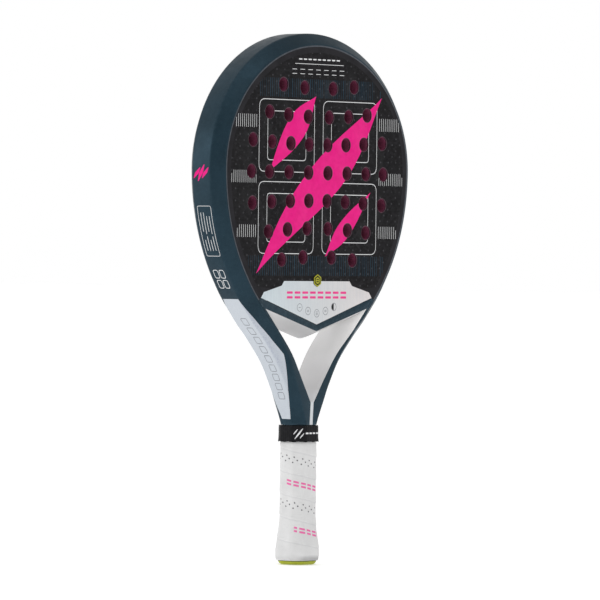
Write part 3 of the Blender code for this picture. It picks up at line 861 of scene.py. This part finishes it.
def combs():
    """Three groups of short upright bars on each side, the outermost bar shorter."""
    art, pitch, width = [], 2.6, 0.42
    for count, z0, z1 in ((11, 373.0, 384.0), (13, 326.0, 336.5), (10, 280.0, 290.5)):
        for i in range(count):
            x = 81.0 + pitch * i
            top = z1 - 3.0 if i == count - 1 else z1
            for side in (-1, 1):
                a, b = sorted((side * x, side * (x + width)))
                art.append(("pale", box(a, z0, b, top)))
    return art


def title_dashes():
    """A row of dashes, a rule and two rows of short bars below the tip, where a title would be."""
    art = [("pale", box(-32.0, 428.2, 32.0, 428.65))]
    for i in range(9):
        x = -27.0 + 6.2 * i
        art.append(("pale", box(x, 431.8, x + 4.3, 432.95, 0.3)))
    for i in range(7):
        x = -35.5 + 10.4 * i
        for z in (419.6, 423.4):
            art.append(("pale", box(x, z, x + 6.0, z + 0.5, 0.2)))
    return art


def plate_art():
    """The white plate above the throat with its dashes and five round icons."""
    plate = [(0.0, 205.9), (72.9, 228.8), (69.4, 233.5), (46.4, 239.0), (43.2, 243.0)]
    art = [("plate", flip(plate))]
    for i in range(8):
        x = -39.5 + 10.1 * i
        for z in (228.1, 232.2):
            art.append(("pink", box(x, z, x + 7.6, z + 2.0, 0.6)))
    icons = ((-22.5, 220.5, 1), (-11.5, 217.5, 2), (0.0, 215.5, 3), (11.5, 217.5, 2), (22.5, 221.0, 0))
    for x, z, bars in icons:
        art += [("ring", circle(x, z, 3.5, 32)), ("ring_in", circle(x, z, 3.0, 32))]
        for k in range(bars):
            middle = z + (k - (bars - 1) / 2) * 1.2
            art.append(("grey", box(x - 1.4, middle - 0.25, x + 1.4, middle + 0.25)))
        if not bars:
            half, radius = [(x, z - 2.9), (x, z + 2.9)], 2.9
            for a in np.linspace(0.15, math.pi - 0.15, 14):
                half.append((x - radius * math.sin(a), z + radius * math.cos(a)))
            art.append(("dark", half))
    return art


def face_art():
    """Printed shapes on a face, as tag and polygon."""
    inside = outline_inside(16.6, stretches((5.6, 6, 10), (6, 7, 46), (7, 8, 56)), (0.0, 232.0))
    art = [("body", skin_outline(11.5)), ("inside", inside)]
    art += line_frames() + combs() + title_dashes()
    art.append(("magenta", blade(-80.0, 249.0, 84.0, 402.0, 37.0, 0.56, 3.0)))
    art.append(("magenta", blade(-64.0, 336.0, -4.0, 401.0, 24.0, 0.6)))
    art.append(("magenta", blade(10.0, 264.0, 70.0, 320.0, 16.0, 0.4)))
    return art + plate_art()


def face_paint(tags):
    """The material where these shapes overlap. A line or a ring lies between two of its shapes."""
    ringed = tags.count("ring") > tags.count("ring_in")
    lined = tags.count("line") > tags.count("line_in")
    # Outside the body lies the skin's rim, coloured lighter as a painted highlight.
    if "body" not in tags:
        return LIP_HIGHLIGHT
    if "plate" in tags:
        if "pink" in tags:
            return PINK
        if "dark" in tags:
            return DARK
        return GREY if ringed or "grey" in tags else PLATE
    if "magenta" in tags:
        return MAGENTA
    if "pale" in tags or lined:
        return PALE
    return CARBON if "inside" in tags else MARGIN


def make_faces():
    """The two drilled and printed skins. The rear's art is the front's, mirrored."""
    holes = [circle(x, z, RADIUS + 0.5) for x, z in HOLES]
    rim = ((0.09, 0.05), (0.14, 0.16), (0.14, 1.0))
    bore = ((0.2, 0.06), (0.42, 0.2), (0.5, 0.42), (0.5, 1.0))
    inks = [CARBON, MARGIN, MAGENTA, PALE, PLATE, PINK, GREY, DARK, CUT, LIP_HIGHLIGHT]
    for word, side in (("front", -1), ("rear", 1)):

        def place(x, z, depth, side=side):
            return x, side * (FACE - depth), z

        art = [(tag, points if side < 0 else mirrored(points)) for tag, points in face_art()]
        options = {"cut": CUT, "slot": "carbon_face", "replaces": [f"face_{word}"]}
        slab(f"skin_{word}", place, skin_outline(10.2), holes, art, face_paint, rim, bore, inks, **options)


def make_core():
    """The foam between the skins, drilled through with round holes."""
    low = node_box("core_foam")[0][2]
    half_depth, corner_x, layers = UNDER + 0.1, 69.6, 12
    path = stretches((5.35, 6, 12), (6, 7, 40), (7, 8, 50))
    half = [(0.0, low), (corner_x, low + SKIN_RISE * corner_x)]
    for section in (Section(q) for q in path):
        if section.inner[1] > 240.0:
            half.append(tuple(section.at(section.wall + 0.3)))
    holes = [circle(x, z, RADIUS + 0.02) for x, z in HOLES]
    walls = [(0.0, k * 2 * half_depth / layers) for k in range(1, layers + 1)]

    def place(x, z, depth):
        return x, depth - half_depth, z

    options = {"slot": "magenta_foam", "replaces": ["core_foam"]}
    slab("head_core", place, flip(half), holes, [], lambda tags: FOAM, walls, walls, [FOAM], **options)


# ---------------------------------------------------------------- throat


def reach(height, rise):
    """How far out a line from the centre runs before it meets the inner wall."""
    last = None
    for q in np.linspace(3.6, 6, 400):
        x, z = Section(q).inner
        gap = z - (height + rise * x)
        if last is not None and last[0] < 0 <= gap:
            t = -last[0] / (gap - last[0])
            return last[1] + (x - last[1]) * t
        last = (gap, x)
    return last[1]


def bridge_profile(rise):
    """Round the bridge's section: y, height on the centre line, slope, and whether it is blue there."""
    keel, edge, top, crown = node_box("throat_bridge")[0][2], 200.3, 216.0, 18.75
    rows = []
    for y in np.linspace(-crown, crown, 31):
        share = abs(y) / crown
        rows.append((y, keel + (edge - keel - 0.1) * (0.7 * share**1.2 + 0.3 * share**3), rise, False))
    rear = [(18.93, edge + 0.08, rise, True), (FACE, edge + 0.45, rise, True)]
    for y, height in ((FACE, SKIN_V - 0.35), (18.85, SKIN_V - 0.08), (UNDER, SKIN_V), (UNDER, top)):
        rear.append((y, height, SKIN_RISE, True))
    return rows + rear + [(-y, *others) for y, *others in reversed(rear)]


def make_bridge():
    """The V bridge: blue front band, white crowned underside that curves into the legs."""
    rise = 0.289
    profile = bridge_profile(rise)
    ends = [reach(height, slope) + 0.5 for _, height, slope, _ in profile]
    fillet, drop, blunt = 7.0, 1.1, 0.4
    rings = []
    for f in np.linspace(-1, 1, 61):
        ring = []
        for (y, height, slope, _), end in zip(profile, ends):
            aside = math.hypot(f * end, blunt) - blunt if slope == rise else abs(f * end)
            to_wall = (1 - abs(f)) * end
            down = 0.0
            if abs(y) < 18.8 and to_wall < fillet:
                down = drop * (1 - to_wall / fillet) ** 2 * (1 - (abs(y) / 18.8) ** 4)
            ring.append((f * end, y, height + slope * aside - down))
        rings.append(ring)
    points, faces, tags = loft(rings, lambda r, i: 0 if profile[i][3] else 1)
    # The underside is a darker white: painted shade.
    piece("bridge_shell", points, faces, [BLUE, SHADED_UNDERSIDE], tags, "frame_paint", ["throat_bridge"])


def make_badge():
    """Six-sided badge: a metallic rim and centre with a dark ring between, and two small bars."""
    low, high = node_box("badge_hex")
    middle = (low[2] + high[2]) / 2

    def hexagon(radius, trim):
        turns = [k * math.pi / 3 for k in reversed(range(6))]
        corners = [(radius * math.sin(a), middle + radius * math.cos(a)) for a in turns]
        return [tuple(p) for p in rounded(corners, [trim] * 6, 3)]

    art = [("ring", hexagon(4.3, 0.5)), ("centre", hexagon(3.1, 0.4))]
    for z in (middle - 0.9, middle + 0.9):
        art.append(("bar", box(-1.5, z - 0.4, 1.5, z + 0.4)))

    def place(x, z, depth):
        return x, depth - FACE - 0.62, z

    def paint(tags):
        return DARK if "bar" in tags or ("ring" in tags and "centre" not in tags) else GOLD

    rim = ((0.1, 0.06), (0.14, 0.18), (0.14, 0.6))
    options = {"slot": "badge_gold", "replaces": ["badge_hex"]}
    slab("badge_plate", place, hexagon(5.4, 0.7), [], art, paint, rim, (), [DARK, GOLD], **options)


# ---------------------------------------------------------------- side marks

QS = np.linspace(0, 7.3, 1500)
SIDE_Z = np.array([Section(q).outer[1] for q in QS])
BEND = 1.2  # half the rounding of the fold between side and chamfer


def side_point(z, v, side):
    """A point on the frame's side and its normal. v runs from mid-depth to the front, round the fold."""
    q = float(np.interp(z, SIDE_Z, QS))
    s, ahead, behind = Section(q), Section(min(q + 0.02, 7.9)), Section(max(q - 0.02, 0.0))
    front = 1.0 if v >= 0 else -1.0
    slope = np.array((s.chamfer, s.depth - s.side))
    slope /= np.linalg.norm(slope)
    flat, leaning = np.array((-1.0, 0.0)), np.array((-slope[1], slope[0]))
    run = abs(v) - s.side
    if run < -BEND:
        u, y, n = 0.0, abs(v), flat
    elif run > BEND:
        u, y = run * slope[0], s.side + run * slope[1]
        n = leaning
    else:
        t = (run + BEND) / (2 * BEND)
        a, c = np.array((0.0, s.side - BEND)), np.array((0.0, s.side))
        u, y = (1 - t) ** 2 * a + 2 * t * (1 - t) * c + t * t * (c + slope * BEND)
        n = (1 - t) * flat + t * leaning
        n /= np.linalg.norm(n)
    x, height = s.at(u)
    along = ahead.outer - behind.outer
    out = np.array((along[1], -along[0])) / np.linalg.norm(along)
    out = out if out @ s.across < 0 else -out
    normal = Vector((out[0] * -n[0], n[1] * -front, out[1] * -n[0])).normalized()
    point = Vector((x, -front * y, height))
    if side < 0:
        point.x, normal.x = -point.x, -normal.x
    return point, normal


def side_patch(borders, rows, columns, side):
    """Rows of points over the side. borders holds z, v_from, v_to down its length."""
    heights, lows, highs = np.array(borders).T
    patch = []
    for z in np.linspace(heights[0], heights[-1], rows):
        low, high = np.interp(z, heights, lows), np.interp(z, heights, highs)
        patch.append([side_point(z, v, side) for v in np.linspace(low, high, columns)])
    return patch


def side_stroke(path, width, side):
    """A line of one width drawn on the side through (z, v) points."""
    path = [np.array(p, float) for p in path]
    rows = []
    for k, here in enumerate(path):
        way = path[min(k + 1, len(path) - 1)] - path[max(k - 1, 0)]
        way = np.array((-way[1], way[0])) / max(np.linalg.norm(way), 1e-9)
        rows.append([side_point(*(here + way * width * t), side) for t in (-0.5, 0.5)])
    return rows


def side_box(z0, v0, z1, v1, radius, width, side):
    """The rounded outline of a box on the side, as two strokes that meet."""
    outline = rounded([(z0, v0), (z1, v0), (z1, v1), (z0, v1)], [radius] * 4)
    dense = []
    for a, b in zip(outline, outline[1:] + outline[:1]):
        count = max(1, int(np.linalg.norm(b - a) / 2.5))
        dense += [a + (b - a) * k / count for k in range(count)]
    half = len(dense) // 2
    return [side_stroke(dense[: half + 1], width, side), side_stroke(dense[half:] + dense[:1], width, side)]


# The white panel's border: height, and distance from mid-depth round the fold to the front and the rear.
PANEL = (
    (124.8, 6.1, 3.2),
    (136.0, 7.1, 7.4),
    (150.0, 10.2, 10.8),
    (176.5, 17.9, 18.2),
    (189.0, 15.5, 15.7),
    (209.0, 12.7, 12.7),
    (227.3, 8.6, 8.3),
)


def panel_boxes(side):
    """Nine rounded boxes up the white panel."""
    strokes = []
    for k in range(9):
        z, v = 142.0 + 7.9 * k, 1.0 + 1.1 * math.sin(k * 0.35)
        strokes += side_box(z, v - 3.2, z + 5.6, v + 3.2, 1.2, 0.5, side)
    return strokes


def side_blades(side):
    """Three small slanted blades at the height of the head's widest line."""
    blades = []
    for v, half in ((4.6, 4.6), (0.0, 7.0), (-4.6, 4.6)):
        rows = []
        for t in np.linspace(-1, 1, 9):
            width = 1.9 * (1 - abs(t)) + 0.35
            rows.append([side_point(333.5 + t * half, v + t * 3.4 + w * width, side) for w in (-1, 0, 1)])
        blades.append(rows)
    return blades


def side_lines(side):
    """A box of plain lines, and four rounded squares below it."""
    lines = side_box(263.5, -6.6, 305.5, 8.4, 1.6, 0.4, side)
    for k in range(4):
        v = -3.6 + 3.0 * k
        for start, end in ((268.0, 277.0 + 3 * (k % 2)), (284.0 - 2 * (k % 2), 300.0 - 3 * (k // 2))):
            lines.append(side_stroke([(z, v) for z in np.linspace(start, end, 6)], 0.5, side))
    for z in (236.5, 245.0):
        for v in (-5.6, 0.9):
            lines += side_box(z, v, z + 6.6, v + 5.0, 1.5, 0.55, side)
    return lines


def make_side_marks():
    for side, word in ((-1, "left"), (1, "right")):
        panel = side_patch([(z, -rear, front) for z, front, rear in PANEL], 100, 45, side)
        films(f"side_panel_{word}", [panel], SIDE_PEARL, "white_filler")
        films(f"panel_marks_{word}", panel_boxes(side), GREY, "white_filler", lift=0.12)
        films(f"side_blades_{word}", side_blades(side), MAGENTA, "frame_paint")
        films(f"side_lines_{word}", side_lines(side), PALE, "frame_paint")


# ---------------------------------------------------------------- handle

CORE_X, CORE_Y, CORE_CUT = 12.5, 10.9, 5.6  # half width, half depth and corner cut of the handle's core


def octagon(outside, count, trim):
    """Points round the handle, evenly spaced from the rear and turning towards -X.

    Gives the points, their normals and the distance round.
    """
    a, b = CORE_X + outside, CORE_Y + outside
    c = CORE_CUT + (2 - math.sqrt(2)) * outside
    rear = [(a - c, b), (-(a - c), b), (-a, b - c), (-a, -(b - c))]
    corners = rear + [(-x, -y) for x, y in rear]
    outline = rounded(corners, [trim] * 8, 8)
    start = np.array((0.0, b))
    outline = np.array([start] + outline[9:] + outline[:9] + [start])
    lengths = np.concatenate([[0.0], np.cumsum(np.linalg.norm(np.diff(outline, axis=0), axis=1))])
    at = np.linspace(0, lengths[-1], count + 1)[:-1]
    ring = np.column_stack([np.interp(at, lengths, outline[:, k]) for k in (0, 1)])
    tangent = np.roll(ring, -1, axis=0) - np.roll(ring, 1, axis=0)
    tangent /= np.linalg.norm(tangent, axis=1)[:, None]
    return ring, np.column_stack([tangent[:, 1], -tangent[:, 0]]), lengths[-1]


# Height, and how far the butt stands out there.
FLARE = ((3.4, 2.3), (5.0, 2.8), (8.0, 3.3), (12.0, 3.35), (20.0, 2.3), (30.0, 0.9), (40.0, 0.0))


def flare(z):
    """How far the butt stands out at a height, smoothed."""
    return float(np.mean([np.interp(z + d, *zip(*FLARE)) for d in (-1.5, -0.75, 0, 0.75, 1.5)]))


def sleeve(name, stops, outside, ripple, material, count, trim, **options):
    """A tube round the handle. stops hold height, inner and outer distance. ripple adds to a point."""
    ring, normals, _ = octagon(outside, count, trim)
    rings = []
    for z, inner, _ in stops:
        out = inner - outside
        rings.append([(x + n[0] * out, y + n[1] * out, z) for (x, y), n in zip(ring, normals)])
    for z, _, outer in reversed(stops):
        points = []
        for i, ((x, y), n) in enumerate(zip(ring, normals)):
            more, dz = ripple(z, i / count)
            out = outer - outside + more
            points.append((x + n[0] * out, y + n[1] * out, z + dz))
        rings.append(points)
    points, faces, tags = loft(rings, closed=True)
    return piece(name, points, faces, [material], tags, **options)


def lap_height(z, share):
    """How far the wrap stands up at a point, from the lap of one turn over the next."""
    turns = (z + PITCH * share - LAP) / PITCH
    part = turns - math.floor(turns)
    rise = 0.36 * (1 - min(1.0, part / 0.75)) ** 1.3
    edge = min(1.0, part * PITCH / 0.5)
    step = min(1.0, (1 - part) * PITCH / 0.55)
    return rise * edge if part < 0.5 else rise * step


def wrap_ripple(z, share):
    """The wrap's laps and slight unevenness, pressed flat under the band."""
    turn = 2 * math.pi
    pull = 0.05 * math.sin(turn * (share * 9 + z / 7.3)) * math.sin(turn * (share * 5 - z / 12.1))
    free = min(1.0, max(0.0, (105.0 - z) / 1.5))
    return (lap_height(z, share) + pull) * (0.15 + 0.85 * free), 0.0


def make_overgrip():
    """The outer wrap, with a UV map that follows its strip."""
    wrap_in, wrap_out, squeeze, columns = 2.1, 2.8, 0.5, 184
    top = node_box("overgrip")[1][2]
    stops = []
    for z in [3.55] + list(np.linspace(4.2, top - 0.4, 330)) + [top]:
        pressed = flare(z) - squeeze * min(1.0, max(0.0, (z - 104.0) / 2.0))
        rounding = 0.35 if z in (3.55, top) else 0.0
        stops.append((z, pressed + wrap_in, pressed + wrap_out - rounding))
    options = {"slot": "grip_wrap", "replaces": ["overgrip"], "sharp": 50}
    obj = sleeve("grip_wrap", stops, wrap_out, wrap_ripple, WRAP, columns, 3.0, **options)
    layer = obj.data.uv_layers.new(name="wrap")
    for polygon in obj.data.polygons:
        places = [v % columns for v in polygon.vertices]
        closes = max(places) - min(places) > columns // 2
        for index, vertex, column in zip(polygon.loop_indices, polygon.vertices, places):
            share = 1.0 if closes and column == 0 else column / columns
            z = obj.data.vertices[vertex].co.z / MM
            layer.data[index].uv = (share * PERIMETER / UV_SCALE, (z + PITCH * share) / UV_SCALE)


def make_base_grip():
    """The cushioned grip, which widens with the collar under its foot."""
    top = node_box("base_grip")[1][2]
    collar_top = node_box("butt_collar")[1][2]
    stops = []
    for z in [3.6] + list(np.linspace(4.4, top - 0.6, 60)) + [top]:
        inner = flare(z) + 0.3 if z <= collar_top else 0.3
        rounding = 0.25 if z in (3.6, top) else 0.0
        stops.append((z, inner, flare(z) + 1.8 - rounding))
    options = {"slot": "grip_cushion", "replaces": ["base_grip"]}
    obj = sleeve("cushion_sleeve", stops, 1.8, lambda z, share: (0.0, 0.0), CUSHION, 96, 2.6, **options)


BAND_OUT, BAND_COLUMNS, BAND_TRIM = 4.2, 368, 3.2


def band_ripple(z, share):
    """The gathered edges and slight puckers of the elastic band, which widens at its lower edge."""
    turn = 2 * math.pi * share
    middle = (z - 112.4) / 6.9
    lower = max(0.0, -middle)
    pucker = 0.10 * math.sin(46 * turn) * (0.4 + 0.6 * middle * middle)
    swell = 0.22 * (1 - abs(middle) ** 3) + 0.08 * math.sin(3 * turn + 0.2 * math.pi)
    wave = 0.22 * math.sin(11 * turn + 1.0) + 0.12 * math.sin(23 * turn)
    return pucker + swell + 0.65 * lower**3, (wave - 0.3 * lower) * abs(middle) ** 3


def band_marks():
    """Three slanted blades and four bars on the band, as rows of points and normals."""
    ring, normals, around = octagon(BAND_OUT, BAND_COLUMNS, BAND_TRIM)

    def on_band(share, z):
        i, t = int(share * len(ring)) % len(ring), share * len(ring) % 1
        j = (i + 1) % len(ring)
        n = normals[i] * (1 - t) + normals[j] * t
        x, y = ring[i] * (1 - t) + ring[j] * t
        out = band_ripple(z, share)[0]
        return Vector((x + n[0] * out, y + n[1] * out, z)), Vector((n[0], n[1], 0.0)).normalized()

    marks = []
    for middle, low, high, width in (
        (0.368, 107.8, 116.8, 1.0),
        (0.342, 111.8, 116.2, 0.7),
        (0.394, 108.4, 112.8, 0.7),
    ):
        rows = []
        for t in np.linspace(0, 1, 12):
            half = width * (0.35 + 0.65 * (1 - abs(2 * t - 1))) / around
            centre = middle + (t - 0.5) * (high - low) * 0.75 / around
            shares = [centre + w * half for w in (-1, -0.5, 0, 0.5, 1)]
            rows.append([on_band(share, low + (high - low) * t) for share in shares])
        marks.append(rows)
    for k in range(4):
        start = 0.425 + 0.042 * k
        shares = np.linspace(start, start + 0.03, 10)
        marks.append([[on_band(share, z) for z in (112.0, 112.7, 113.4)] for share in shares])
    return marks


def make_band():
    """The elastic band, thinner at both hems, and the marks on it."""
    stops = [(105.75, 3.55, 3.85), (105.6, 3.6, 4.1)]
    for z in np.linspace(106.0, 118.9, 30):
        stops.append((z, 3.3 + 0.2 * max(0.0, (107.2 - z) / 1.2), BAND_OUT))
    stops += [(119.25, 3.4, 4.0), (119.1, 3.35, 3.75)]
    options = {"slot": "band_elastic", "replaces": ["grip_band"], "body": "band"}
    sleeve("elastic_band", stops, BAND_OUT, band_ripple, KNIT, BAND_COLUMNS, BAND_TRIM, **options)
    films("band_marks", band_marks(), PALE, "band_elastic", lift=0.12, sink=0.25, body="band")


def make_spine():
    """The white web between the legs, wider where the legs part."""
    foot, shoulder, width = 12.0, 119.9, 1.8
    levels = [(foot, CORE_Y, width), (60.0, CORE_Y, width), (119.5, CORE_Y, width), (shoulder, 14.15, width)]
    levels += [(z, 14.15 + (z - shoulder) * 0.045, width) for z in np.linspace(123, 137.6, 9)]
    levels += [(138.8, 14.9, 1.9), (139.6, 14.75, 2.3)]
    rings = []
    for z, depth, half in levels:
        outline = rounded(box(-half, -depth, half, depth), [0.35] * 4, 3)
        rings.append([(x, y, z) for x, y in outline])
    points, faces, tags = loft(rings)
    piece("spine_web", points, faces, [SPINE], tags, "white_filler", ["handle_spine"])


SCREW_X = 7.0


def make_cap():
    """The end cap, with its rounded edge, the cord's hole and the screws' sinks."""
    ring, _, _ = octagon(0.9, 96, 2.4)
    outline = [tuple(point) for point in ring]
    holes = [circle(0, 0, 3.45)] + [circle(x, 0, 3.25, 32) for x in (-SCREW_X, SCREW_X)]
    rim = ((0.6, 0.1), (1.3, 0.45), (1.9, 1.0), (2.35, 1.6), (2.7, 2.3), (2.95, 2.85), (2.8, 3.0))
    bore = ((0.15, 0.1), (0.25, 0.3), (0.25, 3.0))

    def place(x, z, depth):
        return x, z, depth

    options = {"slot": "lime_cap", "replaces": ["butt_cap"]}
    slab("end_cap", place, outline, holes, [], lambda tags: LIME, rim, bore, [LIME], **options)


def make_screws():
    """Countersunk heads with a cross recess, on turned shanks."""
    near, far = 0.45, 1.55  # half width and reach of the cross
    arm = [(near, far), (-near, far), (-near, near)]
    cross = arm + [(-y, x) for x, y in arm] + [(-x, -y) for x, y in arm] + [(y, -x) for x, y in arm]
    round_outline = [(x / math.hypot(x, y), y / math.hypot(x, y)) for x, y in cross]
    turned = [(2.2, 0.4), (2.5, 0.55), (2.6, 0.85), (2.6, 1.7), (2.4, 1.9), (1.3, 1.95)]
    turned += [(1.3 if k % 2 else 1.05, 2.4 + k * 0.46) for k in range(24)]
    turned.append((0.5, 14.6))
    for word, x0 in (("left", -SCREW_X), ("right", SCREW_X)):
        rings = [[(x0 + 0.6 * x, 0.6 * y, 1.2) for x, y in cross], [(x0 + x, y, 0.42) for x, y in cross]]
        for radius, z in turned:
            rings.append([(x0 + x * radius, y * radius, z) for x, y in round_outline])
        points, faces, tags = loft(rings)
        piece(f"screw_{word}", points, faces, [STEEL], tags, "screw_steel", [f"cap_screw_{word}"])


def finish_cad_nodes():
    """Detailed materials for the CAD solids that stay."""
    kept = {
        "bridge_core": FOAM,
        "handle_foam_left": HANDLE_FOAM,
        "handle_foam_right": HANDLE_FOAM,
        "butt_plug": NYLON,
        "butt_collar": NYLON,
        "base_grip_tape": TAPE,
        "finishing_tape": TAPE,
    }
    for name, material in kept.items():
        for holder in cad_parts[name].material_slots:
            holder.material = material


# ---------------------------------------------------------------- studio

# From here on, places and sizes are in metres.


def make_camera():
    yaw, pitch, roll = (math.radians(angle) for angle in (49.508, 0.46, 0.66))
    distance, aim = 4.9112, Vector((0, 0, 0.22663))
    ahead = Vector((math.sin(yaw) * math.cos(pitch), math.cos(yaw) * math.cos(pitch), -math.sin(pitch)))
    right = Vector((math.cos(yaw), -math.sin(yaw), 0))
    up = right.cross(ahead)
    across = right * math.cos(roll) + up * math.sin(roll)
    above = up * math.cos(roll) - right * math.sin(roll)
    data = bpy.data.cameras.new("camera")
    data.lens = 343.39
    data.sensor_width = 36.0
    camera = bpy.data.objects.new("camera", data)
    bpy.context.collection.objects.link(camera)
    turn = Matrix((across, above, -ahead)).transposed().to_4x4()
    camera.matrix_world = Matrix.Translation(aim - ahead * distance) @ turn
    bpy.context.scene.camera = camera


def make_light(name, place, aim, size, power):
    data = bpy.data.lights.new(name, "AREA")
    data.shape = "DISK"
    data.size = size
    data.energy = power
    light = bpy.data.objects.new(name, data)
    bpy.context.collection.objects.link(light)
    light.location = place
    light.rotation_euler = (Vector(aim) - Vector(place)).to_track_quat("-Z", "Y").to_euler()


def make_world():
    """A white room with a darker spot round the camera and another high on the right."""
    world = bpy.data.worlds.new("studio")
    bpy.context.scene.world = world
    world.use_nodes = True
    tree = world.node_tree
    room = Value(tree, "TexCoord", output="Generated")
    # Each entry is a direction, the cosines it fades between and the factors there.
    spots = (
        ((-0.76, -0.65, 0.0), -1.0, 0.7, 0.98, 0.8),
        ((-0.76, -0.65, 0.0), 0.72, 1.0, 1.0, 0.45),
        ((0.72, 0.0, 0.69), 0.55, 0.95, 1.0, 0.5),
    )
    fades = []
    for way, *limits in spots:
        facing = Value(tree, "VectorMath", {0: room, 1: way}, "Value", operation="DOT_PRODUCT")
        fades.append(facing.span(*limits))
    power = fades[0] * fades[1] * fades[2]
    # The camera itself sees plain white.
    seen = Value(tree, "LightPath", output="Is Camera Ray")
    background = tree.nodes["Background"].inputs
    Value(tree, "Mix", {0: seen, 2: power, 3: 1.0}).link(background["Strength"])
    background["Color"].default_value = (1, 1, 1, 1)


def make_floor():
    f = Finish("floor_white", (0.92, 0.92, 0.92), 0.8, Emission_Color=(1, 1, 1, 1), Emission_Strength=0.38)
    f.blend(f.noise(900).span(0.3, 0.7), (0.88, 0.88, 0.88), (0.9, 0.9, 0.9))
    bpy.ops.mesh.primitive_plane_add(size=60, location=(0, 0, -0.0004))
    floor = bpy.context.object
    floor.name = "floor"
    floor.data.materials.append(f.material)
    floor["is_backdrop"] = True


def make_studio():
    bpy.context.scene.view_settings.view_transform = "Standard"
    make_world()
    make_floor()
    make_light("key", (-2.6, 2.2, 1.0), (0, 0, 0.26), 2.0, 16)
    make_light("fill", (3.0, -0.6, 0.9), (0, 0, 0.2), 1.6, 4)
    make_light("top", (-0.1, -1.0, 2.4), (0, 0, 0.4), 1.2, 3)


make_camera()
make_studio()
make_frame()
make_faces()
make_core()
make_bridge()
make_badge()
make_side_marks()
make_overgrip()
make_base_grip()
make_band()
make_spine()
make_cap()
make_screws()
finish_cad_nodes()

visual_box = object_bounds()
boxes = {"cad": cad_box, "visual": visual_box}
{key: [[float(v) for v in corner] for corner in value] for key, value in boxes.items()}
